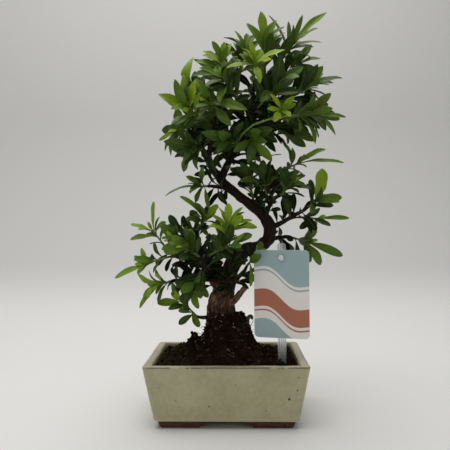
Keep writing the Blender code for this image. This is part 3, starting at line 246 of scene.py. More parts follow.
# Fine stems, and the long green shoot that crosses the crown's front on its way to a spray
FINE_STEPS = 7
FINE_STEM_SIDES = 8
STEM_SUNK = 1.2 * MM
STEM_KNOT = 1.12
FINE_STEM_RADII = (1.02 * STEM_RADIUS, 0.8 * STEM_TIP_RADIUS)
YOUNG_AGE = 0.2
OLD_AGE = 0.75
LONG_SHOOTS = {
    "spray_reach_right": ((12, -18, 274), (16, -34, 279), (27, -46, 286), (42, -48, 291), (58, -42, 295),
                          (74, -29, 299)),
}

# The number of each material in its piece
BLADE_LOOK, STEM_LOOK = 0, 1
SOIL_LOOK, ROOT_LOOK = 0, 1

# Pinholes in the glaze of the front, as x, z and radius in millimetres
PITS = ((58.5, 30, 1.15), (66, 38.5, 0.75), (37, 18.5, 0.6), (-16, 22.5, 0.75), (67, 51, 0.6),
        (-47, 28, 0.5), (9, 44, 0.45), (-63, 41, 0.45))

# Fine wood: its skin, the strands at its foot, and how bark runs along and round each stem
WOOD_VOXEL = 0.75 * MM
FINE_TRUNK_SIDES = 26
FINE_LIMB_SIDES = 10
STRANDS = 7
STRAND_ROWS = 18
STRAND_WANDER = 0.3
STRAND_LEAN = 0.9
STRAND_HEIGHTS = (0.7, 1.0)
# Foot's light old bark gives way to darker bark here: partly younger bark, partly painted crown shade
OLD_BARK_AND_SHADE_HEIGHTS = (118 * MM, 150 * MM)
COURSE_SHIFT = 0.37
NEAR_SAMPLES = 6
BARK_SEAM = Vector((0.31, 0.95, 0.1))
BARK_WRAP = 2.2
PLATE_LENGTH = 9 * MM
FLAKE_LENGTH = 5 * MM
FLAKE_DEPTH = 0.6 * MM
KNOT_LENGTH = 7 * MM
KNOT_DEPTH = 0.9 * MM
FLUTING_LENGTH = 26 * MM
FLUTING_DEPTH = 1.6 * MM
STUB_LENGTH = 17 * MM
STUB_AGE = 0.3

# The curled root at the mound's right and two thin twigs at the trunk's foot: x, y, z and radius
CURLED_ROOT = ((19, -9, 78, 2.4), (21, -10, 84, 2.1), (22.4, -11, 88.5, 2.3), (21.2, -11, 93, 1.7),
               (21.5, -12, 98, 2.1), (23.2, -12, 100.5, 1.5), (25.2, -11, 99.8, 1.7), (25.8, -10, 97, 1.1))
FOOT_TWIGS = (((-10, -10, 118, 2.1), (-5, -15, 128, 1.9), (2, -17, 138, 1.6), (7, -18, 149, 1.3)),
              ((-5, -11, 113, 2.0), (1, -15, 122, 1.7), (7, -16, 131, 1.4), (9, -18, 143, 1.2)))

# Camera, lights and stage
CAMERA_LENS = 40
SENSOR_WIDTH = 36
CLIP_START = 0.01
CAMERA_PLACE = Vector((0.0120, -0.5169, 0.1851))
CAMERA_YAW = math.radians(1.47)
CAMERA_PITCH = math.radians(0.82)
CAMERA_ROLL = math.radians(-0.38)
STAGE_HALF = 3.0
SWEEP_START = 0.33
SWEEP_RADIUS = 0.5
SWEEP_STEPS = 24
FILL_COLOUR = (0.97, 0.98, 1.0)
FILL_STRENGTH = 0.34
LAMPS = (
    ("key", (-0.25, -0.10, 1.4), 1.2, 12.0, (1.0, 0.99, 0.97)),
    ("back", (0.25, 0.25, 1.4), 0.8, 2.5, (1.0, 0.99, 0.98)),
)

# Colours, from dark to light
LEAF_TONES = ((0.0, (0.003, 0.007, 0.001)), (0.28, (0.020, 0.043, 0.010)), (0.5, (0.068, 0.132, 0.014)),
              (0.75, (0.155, 0.26, 0.012)), (1.0, (0.29, 0.42, 0.02)))
LEAF_RIB = (0.20, 0.30, 0.05)
LEAF_BELOW = (0.085, 0.135, 0.025)
LEAF_SHEEN = (0.9, 1.0, 0.5)
STEM_TONES = ((0.0, (0.16, 0.26, 0.045)), (0.5, (0.09, 0.12, 0.03)), (1.0, (0.06, 0.035, 0.022)))
BARK_TONES = ((0.36, (0.015, 0.007, 0.005)), (0.46, (0.125, 0.052, 0.032)), (0.55, (0.31, 0.155, 0.10)),
              (0.65, (0.60, 0.44, 0.33)))
TWIG_TONES = ((0.3, (0.012, 0.008, 0.006)), (0.55, (0.032, 0.021, 0.015)), (0.8, (0.075, 0.055, 0.042)))
CUT_WOOD = (0.32, 0.22, 0.13)
CUT_WOOD_DARK = (0.16, 0.10, 0.06)
BARK_GRIT = (0.02, 0.012, 0.009)
BARK_CRACK = (0.014, 0.007, 0.005)
BARK_DIRT = (0.010, 0.006, 0.004)
SOIL_TONES = ((0.3, (0.003, 0.002, 0.0015)), (0.52, (0.012, 0.0065, 0.0045)), (0.7, (0.062, 0.035, 0.023)),
              (1.0, (0.19, 0.125, 0.08)))
MOSS = (0.045, 0.052, 0.014)
ROOT_TONES = ((0.0, (0.42, 0.32, 0.20)), (0.5, (0.16, 0.095, 0.055)), (1.0, (0.025, 0.014, 0.009)))
GLAZE_TONES = ((0.3, (0.345, 0.32, 0.172)), (0.5, (0.43, 0.40, 0.235)), (0.7, (0.51, 0.48, 0.305)))
GLAZE_SPECK = (0.20, 0.16, 0.09)
GLAZE_BREAK = (0.055, 0.03, 0.012)
# The pale line along the pot's bottom edge, above the feet
GLAZE_BASE_LINE = (0.56, 0.53, 0.38)
PINHOLE = (0.014, 0.010, 0.007)
# The feet's terracotta, painted darker as the shade under the pot
SHADED_CLAY_TONES = ((0.35, (0.055, 0.018, 0.009)), (0.65, (0.115, 0.040, 0.020)))
CARD_CREAM = (0.95, 0.90, 0.85)
CARD_TEAL = (0.36, 0.50, 0.51)
CARD_RUST = (0.50, 0.165, 0.082)
CARD_RUST_DARK = (0.40, 0.115, 0.055)
CARD_DUST = (0.3, 0.29, 0.27)
CLEAR_COLOUR = (0.86, 0.87, 0.9)
FLOOR_COLOUR = (0.815, 0.81, 0.79)
# Painted shade: the wall is painted darker than the floor, for the less light it gets
SHADED_WALL_COLOUR = (0.60, 0.597, 0.582)

# Where marks begin and end: on a leaf in shares of its half width and length, on the bark as heights,
# and on the card in millimetres along its slant
LEAF_MOTTLE = 0.09
LEAF_GLOSS = (0.3, 0.46)
RIB_EDGE = (0.015, 0.085)
STALK_EDGE = (0.06, 0.2)
VEIN_COUNT = 15.0
VEIN_SLANT = -1.7
VEIN_EDGE = (0.02, 0.13)
VEIN_END = (0.5, 0.95)
DIRT_HEIGHTS = (98 * MM, 121 * MM)
CARD_WAVE = 46
CARD_WAVE_HEIGHT = 4.2
CARD_SLOPE = 0.42
CARD_BANDS = ((17, 80), (12.5, 14.2), (-22, -5), (-26.4, -24.8), (-80, -34))

# Wood, each point as x, y, z and radius in millimetres
TRUNK = (
    (-5, 2, 62, 11), (-5, 1, 82, 12.5), (-6, 0, 98, 13), (-6, 0, 112, 12.3), (-3, 1, 126, 11),
    (2, 3, 140, 9.3), (8, 6, 154, 8.2), (19, 8, 165, 7.3), (33, 7, 169, 6.7), (43, 4, 177, 6.3),
    (44.5, 2, 190, 6.3), (37, 0, 203, 5.5), (27, -1, 211.5, 5.0), (16, -1, 220.5, 4.8),
    (5.5, 0, 229.5, 4.7), (-4, 1, 238, 4.6),
)
LIMBS = {
    "left_fork": ((-3, 1, 236, 4.4), (-11, 0, 247, 3.9), (-18, -2, 258, 3.4), (-24, -4, 271, 2.9),
                  (-30, -5, 284, 2.4), (-35, -6, 297, 2.0)),
    "leader": ((-6, 1, 236, 4.4), (-1, 2, 250, 4.0), (5, 3, 262, 3.8), (12, 3, 276, 3.5),
               (22, 2, 292, 3.2), (32, 1, 310, 2.9), (40, 0, 330, 2.5), (46, 0, 350, 2.0)),
    "crown_right": ((13, 3, 278, 2.2), (30, 8, 284, 2.5), (48, 10, 291, 2.2), (62, 8, 298, 1.9)),
    "crown_upper_left": ((25, 2, 297, 2.0), (11, -3, 308, 2.4), (1, -6, 322, 2.1), (-8, -8, 335, 1.8)),
    "crown_upper_right": ((34, 1, 314, 1.9), (46, 4, 318, 2.2), (58, 4, 325, 1.9)),
    "crown_front": ((19, 2, 287, 2.1), (24, -11, 303, 2.3), (27, -24, 315, 2.0), (29, -31, 328, 1.8)),
    "crown_back": ((29, 1, 304, 2.0), (25, 16, 309, 2.2), (25, 29, 317, 2.0), (28, 37, 329, 1.8)),
    "crown_front_low": ((8, 3, 268, 2.2), (16, -9, 277, 2.2), (28, -22, 286, 1.9), (42, -29, 293, 1.7)),
    "crown_back_low": ((3, 3, 258, 2.2), (3, 16, 274, 2.2), (-4, 28, 290, 1.9)),
    "crown_front_left": ((-18, -2, 258, 2.0), (-15, -14, 271, 2.3), (-12, -24, 284, 2.0),
                         (-9, -31, 298, 1.7)),
    "middle_high": ((26, -1, 212, 2.6), (37, 3, 222, 2.6), (47, 5, 233, 2.2), (57, 4, 244, 1.8)),
    "middle_right": ((45, 2, 188, 2.9), (58, 0, 195, 2.5), (70, -2, 202, 2.1), (80, -4, 207, 1.8)),
    "middle_low": ((43, 4, 177, 2.8), (54, 8, 179, 2.4), (65, 8, 180, 2.0)),
    "middle_front": ((40, 0, 200, 2.6), (44, -12, 211, 2.2), (50, -20, 220, 1.8)),
    "middle_back": ((32, 0, 208, 2.6), (36, 14, 218, 2.3), (43, 24, 227, 1.8)),
    "middle_left": ((6, 0, 229, 2.6), (-5, -6, 231, 2.2), (-14, -9, 232, 1.8)),
    "low_left": ((-4, 1, 124, 8.5), (-13, -1, 138, 6.8), (-21, -3, 151, 5.4), (-27, -4, 164, 4.2),
                 (-30, -4, 177, 3.2), (-31, -3, 188, 2.4)),
    "low_far": ((-23, -3, 155, 2.8), (-34, -6, 157, 2.8), (-48, -8, 160, 2.4), (-60, -9, 168, 1.9)),
    "low_outer": ((-12, -1, 136, 3.2), (-27, -10, 138, 2.7), (-41, -14, 137, 2.2), (-53, -15, 137, 1.8)),
    "low_front": ((-16, -2, 143, 3.0), (-18, -15, 147, 2.7), (-20, -28, 151, 2.2), (-23, -34, 160, 1.8)),
    "low_shoot": ((-3, 0, 124, 3.6), (3, -11, 137, 3.0), (4, -20, 152, 2.4), (1, -26, 166, 1.9)),
    "low_right": ((-1, -3, 126, 3.0), (10, -9, 137, 2.5), (19, -14, 147, 1.9)),
    "low_back": ((-20, -3, 149, 3.0), (-22, 12, 160, 2.6), (-24, 24, 169, 2.0)),
    "low_back_right": ((2, 3, 140, 3.0), (4, 16, 150, 2.5), (4, 28, 160, 2.0)),
    "sucker": ((-8, -2, 101, 3.0), (-19, -9, 99, 2.3), (-27, -13, 99.5, 1.7)),
    "cut_stub": ((-4, -2, 106, 5.0), (7, -6, 115, 3.6), (20, -10, 130, 2.8)),
    "bare_twig": ((5, 3, 262, 1.7), (18, 0, 266, 1.3), (36, -3, 263.5, 1.0), (57, -4, 264.5, 0.6)),
}

# Leafy shoots: name, limb, foot, tip, count of free leaves and their length. Placed leaves follow,
# each as its root's share of the stem, its tip, width and arch, and whether the shoot is young.
SPRAYS = [
    ("apex_right", "leader", (52, 1, 356), (68, -2, 378), 4, 36, (
        (1.0, 104, -6, 411, 8, 0.06), (0.95, 80, -4, 408, 6, 0.02), (0.8, 46, 2, 412, 8, 0.05),
        (0.7, 98, -10, 378, 9, 0.12), (0.5, 90, 8, 370, 9, 0.1))),
    ("apex_middle", "leader", (41, -4, 354), (40, -9, 376), 4, 35, (
        (1.0, 37, -8, 411, 11, 0.05), (0.8, 23, -2, 402, 7, 0.05), (0.9, 52, -12, 398, 11, 0.08),
        (0.5, 60, -22, 384, 9, 0.1))),
    ("apex_left", "crown_upper_left", (14, -6, 350), (21, -6, 372), 3, 34, (
        (1.0, -2, -8, 384, 10, 0.14), (0.8, 10, -8, 390, 9, 0.12), (0.9, 30, -14, 392, 9, 0.1),
        (0.5, 0, 8, 376, 9, 0.12))),
    ("notch_left", "crown_upper_left", (-1, -14, 348), (-3, -23, 357), 2, 26, (
        (1.0, -21, -29, 363, 9, 0.05), (0.9, -12, -29, 369, 9, 0.05), (0.4, 7, -34, 372, 9, 0.1)), True),
    ("star_high", "crown_front", (29, -38, 338), (29, -46, 346), 4, 27, (
        (1.0, 58, -50, 355, 7, 0.08), (0.8, 0, -48, 339, 8, 0.1), (0.9, 44, -56, 344, 6, 0.08),
        (0.7, 33, -58, 322, 8, 0.12), (1.0, 25, -56, 362, 6, 0.05)), True),
    ("arch_left", "crown_upper_left", (-20, -9, 322), (-27, -11, 327), 3, 30, (
        (1.0, -31, -16, 362, 12, 0.34), (0.6, -30, -22, 346, 10, 0.12), (0.5, -50, -2, 334, 9, 0.1))),
    ("crest_left", "crown_upper_left", (-3, -16, 338), (1, -22, 346), 3, 32, (
        (0.8, -29, -24, 356, 9, 0.1), (0.3, -33, -28, 338, 10, 0.12), (0.9, 4, -40, 364, 9, 0.1))),
    ("left_high", "left_fork", (-33, -22, 300), (-33, -37, 308), 2, 32, (
        (0.4, -63, -44, 317, 11, 0.1), (0.9, -27, -47, 329, 12, 0.06), (0.6, -51, -44, 303, 9, 0.12),
        (0.8, -40, -36, 338, 8, 0.1))),
    ("left_low", "left_fork", (-38, -8, 288), (-46, -11, 290), 2, 27, (
        (1.0, -68, -10, 279, 6, 0.05), (0.8, -62, -14, 268, 8, 0.1), (0.5, -54, -20, 265, 9, 0.14),
        (0.9, -57, -8, 293, 9, 0.1), (0.5, -30, -28, 296, 10, 0.1), (0.3, -36, -34, 282, 10, 0.12))),
    ("left_hang", "left_fork", (-27, 4, 274), (-34, 8, 272), 4, 28, (
        (1.0, -46, 2, 253, 7, 0.1), (0.8, -60, 12, 276, 8, 0.12), (0.5, -38, -10, 257, 8, 0.1))),
    ("right_high", "crown_upper_right", (64, 2, 328), (84, 1, 338), 5, 34, (
        (0.9, 101, -4, 355, 9, 0.08), (1.0, 106, -6, 344, 9, 0.08), (0.6, 110, -2, 331, 9, 0.1),
        (0.4, 84, -24, 344, 9, 0.12))),
    ("right_shoulder", "leader", (56, 8, 348), (73, 10, 361), 5, 34, (
        (1.0, 100, 6, 366, 9, 0.1), (0.8, 92, 14, 384, 8, 0.1))),
    ("right_low", "crown_right", (68, -4, 302), (85, -9, 310), 4, 35, (
        (0.9, 107, -14, 324, 9, 0.1), (1.0, 106, -4, 316, 9, 0.08), (0.7, 88, -34, 322, 9, 0.12),
        (0.4, 92, -22, 300, 9, 0.1))),
    ("star_low", "crown_front_low", (49, -38, 298), (54, -46, 302), 1, 22, (
        (1.0, 43, -54, 313, 6, 0.05), (0.9, 65, -56, 310, 6, 0.05), (0.8, 62, -54, 292, 7, 0.08),
        (0.7, 46, -56, 287, 7, 0.08), (0.9, 40, -52, 300, 5, 0.05)), True),
    ("reach_right", "crown_front_low", (64, -28, 297), (84, -24, 302), 2, 32, (
        (1.0, 120, -22, 298, 6, 0.06), (0.9, 106, -26, 306, 8, 0.1), (0.8, 110, -22, 281, 8, 0.14),
        (0.5, 89, -24, 271, 8, 0.12), (0.3, 72, -36, 282, 7, 0.1))),
    ("under_right", "crown_right", (58, 16, 290), (68, 18, 293), 2, 28, (
        (1.0, 96, 14, 281, 8, 0.1), (0.7, 92, 24, 290, 8, 0.1), (0.3, 72, 6, 284, 8, 0.1))),
    ("under_middle", "crown_front_low", (24, -27, 280), (27, -33, 275), 3, 30, (
        (1.0, 46, -30, 254, 9, 0.12), (0.7, 8, -38, 262, 8, 0.1), (0.4, 40, -46, 270, 8, 0.12))),
    ("front_high", "crown_front", (12, -33, 316), (-2, -42, 336), 6, 34, (
        (0.8, -18, -50, 322, 9, 0.1), (1.0, 6, -60, 342, 9, 0.1), (0.6, -4, -56, 304, 10, 0.12))),
    ("front_middle", "crown_front", (38, -34, 312), (54, -43, 328), 6, 34, (
        (0.8, 70, -50, 330, 9, 0.1), (1.0, 52, -60, 338, 8, 0.1), (0.5, 34, -62, 306, 9, 0.12))),
    ("front_low", "crown_front_left", (-2, -34, 300), (-16, -42, 312), 6, 32, (
        (0.7, -24, -50, 292, 10, 0.1), (0.9, 22, -56, 298, 10, 0.1), (0.5, 6, -54, 284, 9, 0.12))),
    ("front_left", "crown_front_left", (-20, -30, 296), (-29, -40, 300), 5, 28, (
        (0.8, -22, -52, 316, 9, 0.1), (0.6, -46, -46, 290, 9, 0.12))),
    ("front_right", "crown_upper_right", (62, -14, 318), (82, -26, 328), 6, 36),
    ("back_high", "crown_back", (30, 40, 334), (42, 50, 356), 6, 35),
    ("back_left", "crown_back", (8, 36, 318), (-12, 46, 332), 6, 34),
    ("back_right", "crown_back", (44, 36, 316), (66, 46, 328), 6, 35),
    ("back_low", "crown_back_low", (-10, 32, 290), (-28, 42, 298), 6, 32),
    ("back_under", "crown_back_low", (8, 28, 286), (24, 40, 290), 5, 32),
    ("back_crest", "crown_upper_left", (4, 8, 338), (-8, 18, 358), 6, 33),
    ("back_side", "crown_right", (62, 20, 302), (84, 32, 312), 6, 34),
    ("heart", "crown_front_left", (2, -14, 288), (-12, -27, 302), 7, 31),
    ("under_left", "left_fork", (-20, -12, 268), (-32, -24, 272), 6, 29),
    ("under_front", "crown_front_low", (12, -18, 274), (2, -33, 280), 6, 29),
    ("mid_top", "middle_high", (66, 2, 252), (76, 0, 258), 0, 26, (
        (1.0, 103, -2, 270, 8, 0.1), (0.9, 122, -2, 256, 6, 0.06), (0.2, 63, -4, 275, 8, 0.05),
        (0.6, 84, -10, 262, 5, 0.05))),
    ("mid_crest", "middle_front", (40, -18, 228), (38, -24, 238), 6, 27, (
        (0.9, 37, -26, 256, 9, 0.1), (0.7, 14, -26, 236, 9, 0.1))),
    ("mid_heart", "middle_front", (57, -22, 224), (64, -31, 233), 6, 26, (
        (0.9, 73, -36, 230, 9, 0.14), (0.6, 52, -40, 246, 9, 0.12))),
    ("mid_right", "middle_right", (86, -6, 212), (90, -8, 216), 2, 30, (
        (1.0, 98, -10, 249, 17, 0.06), (0.8, 115, -10, 215, 7, 0.08), (0.4, 84, -22, 203, 8, 0.1))),
    ("mid_reach", "middle_right", (84, 4, 200), (94, 6, 200), 0, 32, (
        (1.0, 128, 4, 199, 6, 0.05), (0.5, 90, 8, 180, 8, 0.1), (0.4, 74, -10, 188, 8, 0.1))),
    ("mid_low", "middle_low", (72, 4, 178), (80, 0, 176), 2, 32, (
        (1.0, 119, -4, 160, 10, 0.14), (0.8, 88, -2, 190, 8, 0.08), (0.5, 88, 8, 160, 8, 0.1))),
    ("mid_fill", "middle_high", (27, -6, 224), (24, -15, 238), 7, 26, (
        (0.9, 10, -22, 250, 9, 0.1), (0.8, 30, -26, 259, 9, 0.12))),
    ("mid_back", "middle_back", (47, 28, 228), (62, 38, 238), 6, 29),
    ("side_left", "middle_left", (-20, -10, 232), (-26, -11, 232), 0, 26, (
        (1.0, -62, -12, 222, 8, 0.12), (0.9, -40, -14, 242, 8, 0.08), (0.5, -22, -20, 251, 10, 0.05),
        (0.7, -36, -18, 224, 5, 0.1), (0.4, -29, -16, 216, 6, 0.1), (0.2, -16, -18, 207, 5, 0.06))),
    ("low_crest", "low_left", (-26, -12, 192), (-20, -17, 199), 3, 25, (
        (0.8, -46, -16, 222, 8, 0.14), (1.0, -8, -18, 213, 8, 0.08), (0.5, -40, -20, 199, 8, 0.1),
        (0.9, -25, -26, 211, 8, 0.08))),
    ("low_bright", "low_shoot", (1, -30, 176), (2, -33, 194), 3, 26, (
        (1.0, 3, -34, 213, 9, 0.05), (0.95, 17, -36, 209, 6, 0.08), (0.7, -17, -38, 190, 9, 0.12),
        (0.6, 31, -36, 189, 11, 0.1), (0.85, 26, -32, 197, 6, 0.08)), True),
    ("low_right", "low_right", (23, -16, 154), (29, -19, 162), 4, 25, (
        (0.9, 34, -22, 177, 8, 0.1), (0.3, 34, -34, 142, 11, 0.1), (0.1, 24, -38, 133, 5, 0.06))),
    ("far_tip", "low_far", (-66, -10, 176), (-74, -12, 188), 1, 22, (
        (1.0, -97, -12, 194, 7, 0.05), (0.9, -73, -14, 217, 6, 0.03), (0.5, -97, -14, 178, 8, 0.08),
        (0.8, -60, -18, 196, 8, 0.08)), True),
    ("far_top", "low_left", (-40, -8, 184), (-47, -13, 187), 4, 23, (
        (1.0, -61, -15, 191, 10, 0.06), (0.8, -43, -22, 193, 8, 0.08))),
    ("far_left", "low_far", (-68, -14, 158), (-80, -16, 155), 1, 24, (
        (0.7, -85, -18, 170, 9, 0.06), (1.0, -112, -18, 140, 10, 0.06),
        (0.5, -86, -22, 144, 9, 0.1)), True),
    ("outer_left", "low_outer", (-57, -18, 136), (-66, -20, 134), 4, 26, (
        (1.0, -86, -22, 110, 8, 0.1), (0.7, -82, -26, 122, 8, 0.1), (0.4, -66, -36, 146, 9, 0.08))),
    ("front_low_left", "low_front", (-26, -36, 162), (-38, -46, 172), 6, 26, (
        (0.9, -50, -50, 182, 9, 0.1),)),
    ("front_low_mid", "low_front", (-10, -32, 166), (7, -40, 176), 6, 24),
    ("front_low_under", "low_front", (-25, -27, 146), (-32, -33, 134), 5, 24, (
        (1.0, -27, -34, 111, 9, 0.1), (0.7, -41, -38, 117, 9, 0.1), (0.4, -17, -34, 122, 8, 0.1))),
    ("low_inner", "low_left", (-36, -14, 170), (-50, -21, 178), 7, 26),
    ("back_low_left", "low_back", (-30, 28, 170), (-46, 36, 178), 6, 27),
    ("back_low_mid", "low_back_right", (2, 32, 164), (-8, 42, 176), 6, 27),
    ("root_shoot", "sucker", (-31, -15, 102), (-45, -19, 119), 0, 24, (
        (1.0, -54, -20, 135, 8, 0.06), (0.9, -69, -20, 115, 9, 0.08), (0.6, -40, -24, 134, 6, 0.05),
        (0.1, -48, -16, 93, 8, 0.05), (0.3, -26, -26, 92, 8, 0.05)), True),
]


def at(x, y, z):
    """A point given in millimetres."""
    return Vector((x, y, z)) * MM


def blend_in(low, high, value):
    """A smooth step from 0 at low to 1 at high."""
    part = min(max((value - low) / (high - low), 0.0), 1.0)
    return part * part * (3 - 2 * part)


def ring_faces(size, rows):
    """The side faces between rings of points that follow each other."""
    starts = [(row * size, k) for row in range(rows - 1) for k in range(size)]
    corners = [(base + k, base + (k + 1) % size) for base, k in starts]
    return [(a, b, b + size, a + size) for a, b in corners]


def loft(rings):
    """Points and faces of a closed solid through rings of equal size."""
    size = len(rings[0])
    points = [p for ring in rings for p in ring]
    faces = [tuple(reversed(range(size)))] + ring_faces(size, len(rings))
    faces.append(tuple(range(len(points) - size, len(points))))
    return points, faces


def rounded_rectangle(half_x, half_y, radius, z):
    """A ring of points, anticlockwise from above."""
    ring = []
    for quarter, (sx, sy) in enumerate(((1, 1), (-1, 1), (-1, -1), (1, -1))):
        for k in range(CORNER_STEPS + 1):
            angle = math.radians(90 * (quarter + k / CORNER_STEPS))
            x = sx * (half_x - radius) + radius * math.cos(angle)
            y = sy * (half_y - radius) + radius * math.sin(angle)
            ring.append(Vector((x, y, z)))
    return ring


def disc_ring(centre, axis, radius):
    """A ring of points round an axis."""
    turn = 2 * math.pi / ROUND_SIDES
    return [centre + radius * sideways(axis, k * turn) for k in range(ROUND_SIDES)]


def pot_ring(inset, z):
    """A ring of the pot's outline at a height, moved in by an inset."""
    move = inset + POT_TAPER * (POT_HEIGHT - z) / (POT_HEIGHT - FOOT_HEIGHT)
    radius = max(POT_CORNER - 0.6 * inset, 2 * MM)
    return rounded_rectangle(POT_WIDTH / 2 - move, POT_DEPTH / 2 - move, radius, z)


def sideways(along, turn):
    """The direction square to a line, at a turn round it."""
    side = along.orthogonal().normalized()
    return math.cos(turn) * side + math.sin(turn) * along.cross(side)


def soil_height(x, y):
    """Height of the soil's surface: level near the rim, a root ball round the trunk, crumbly."""
    east, north = x - MOUND_CENTRE.x, y - MOUND_CENTRE.y
    turn = math.atan2(north, east)
    reach = math.hypot(east, north) * (1 + MOUND_LOBES * math.sin(4 * turn + 1))
    past = max(reach - BALL_RADIUS, 0.0)
    right = (1 + math.cos(turn)) / 2
    ball, skirt = (past / (at_left + (at_right - at_left) * right)
                   for at_left, at_right in (BALL_SPREADS, SKIRT_SPREADS))
    clump = math.hypot(x - CLUMP.x, y - CLUMP.y) / CLUMP_SPREAD
    heap = BALL_HEIGHT * math.exp(-ball * ball) + SKIRT_HEIGHT * math.exp(-skirt * skirt)
    heap += CLUMP_HEIGHT * math.exp(-clump * clump)
    u, v = 2 * math.pi * x / CRUMB_PITCH, 2 * math.pi * y / CRUMB_PITCH
    crumbs = math.sin(u + 1.3 * math.sin(1.3 * v)) * math.sin(1.1 * v + 1.1 * math.sin(0.8 * u))
    crumbs *= CRUMB_HEIGHT * (0.35 + heap / (BALL_HEIGHT + SKIRT_HEIGHT))
    return SOIL_EDGE + heap + crumbs


def smooth_path(points, steps):
    """A Catmull-Rom curve through (x, y, z, radius) points, as (point, radius) pairs."""
    rows = [(at(*p[:3]), p[3] * MM) for p in points]
    path = []
    last = len(rows) - 1
    for i in range(last):
        p0, p1, p2, p3 = (rows[max(0, min(last, i + d))] for d in (-1, 0, 1, 2))
        for k in range(steps):
            t = k / steps
            place = 0.5 * (2 * p1[0] + (p2[0] - p0[0]) * t
                           + (2 * p0[0] - 5 * p1[0] + 4 * p2[0] - p3[0]) * t * t
                           + (3 * p1[0] - p0[0] - 3 * p2[0] + p3[0]) * t ** 3)
            path.append((place, p1[1] + (p2[1] - p1[1]) * t))
    path.append(rows[last])
    return path


def bezier(start, bend, end, steps):
    """Points of a curve from a start to an end that bends towards a third point."""
    return [start * (1 - t) ** 2 + bend * (2 * t * (1 - t)) + end * t * t
            for t in (k / steps for k in range(steps + 1))]


def tube(path, sides, flutes=0.0, start=None, end=None, stretch=1):
    """Points and faces of a round bar swept along (point, radius) pairs.

    start and end are the directions of its ends, where they matter, and stretch is how many
    rows the path has for each row of the solid's."""
    rings = []
    normal = None
    last = len(path) - 1
    for i, (place, radius) in enumerate(path):
        along = (path[min(i + 1, last)][0] - path[max(i - 1, 0)][0]).normalized()
        if i == 0 and start:
            along = start
        if i == last and end:
            along = end
        if normal is None:
            normal = along.orthogonal().normalized()
        normal = (normal - along * normal.dot(along)).normalized()
        across = along.cross(normal)
        ring = []
        for k in range(sides):
            angle = 2 * math.pi * k / sides
            ridge = sum(size * math.cos(count * angle + turn * i / stretch) for count, size, turn in FLUTES)
            reach = radius * (1 + flutes * ridge)
            ring.append(place + reach * (math.cos(angle) * normal + math.sin(angle) * across))
        rings.append(ring)
    return loft(rings)


def tag_frame():
    """Where the plant tag stands, and how far it is turned."""
    return Matrix.Translation(CARD_PLACE) @ Matrix.Rotation(CARD_YAW, 4, "Z")


class Spray:
    """A green shoot: a twig of wood leads to its foot, and its leaves stand along its stem."""

    def __init__(self, name, limb, foot, tip, count, length, leaves=(), young=False):
        self.name = "spray_" + name
        self.limb = limb
        self.foot = at(*foot)
        self.tip = at(*tip)
        self.count = count
        self.length = length * MM
        self.leaves = leaves
        self.young = young
        self.heading = (self.tip - self.foot).normalized()
        self.top_share = 1.0
        self.placed = []
        self.more = []

    def chance(self, kind, index, tries):
        """A source of chance of its own for each try at each leaf."""
        return random.Random(f"{SEED} {self.name} {kind} {index} {tries}")

    def set_back(self, limbs):
        """Moves the foot back towards its limb, as far as it stays clear of the wood."""
        reach = (self.tip - self.foot).length
        run = STEM_RUN
        while run > 0 and any(near_path(self.foot - self.heading * run, path) for path in limbs):
            run -= 1 * MM
        self.foot -= self.heading * max(run, 0.0)
        self.top_share = reach / (self.tip - self.foot).length

    def stem(self, gap=GAP, steps=2):
        """Points of the stem, from a gap past its foot to its sagging tip."""
        reach = (self.tip - self.foot).length
        start = self.foot + self.heading * gap
        bend = start + self.heading * (0.5 * reach)
        return bezier(start, bend, self.tip - UP * (STEM_SAG * reach), steps)

    def stem_shape(self):
        radii = (STEM_RADIUS, (STEM_RADIUS + STEM_TIP_RADIUS) / 2, STEM_TIP_RADIUS)
        return tube(list(zip(self.stem(), radii)), STEM_SIDES, start=self.heading)

    def on_stem(self, share):
        """A point of the stem and its direction, at a share of its length."""
        places = self.stem()
        row = 0 if share < 0.5 else 1
        part = (share - 0.5 * row) * 2
        along = places[row + 1] - places[row]
        return places[row] + along * part, along.normalized()


def near_path(place, path):
    """Whether a shoot's foot is too close to a limb."""
    for (a, radius_a), (b, radius_b) in zip(path, path[1:]):
        part = max(0.0, min(1.0, (place - a).dot(b - a) / (b - a).length_squared))
        radius = radius_a + (radius_b - radius_a) * part
        if (place - a.lerp(b, part)).length < radius + FOOT_CLEARANCE:
            return True
    return False


def sprays():
    """All leafy shoots, from the table."""
    return [Spray(*row) for row in SPRAYS]


def half_width(width, share):
    """Half the blade's width at a share of its length: a narrow stalk, then a lance shape."""
    if share <= PETIOLE:
        return LEAF_ROOT
    part = (share - PETIOLE) / (1 - PETIOLE)
    return max(0.5 * width * max(math.sin(math.pi * part ** 1.15), 0.0) ** 0.75, LEAF_ROOT * (1 - part))


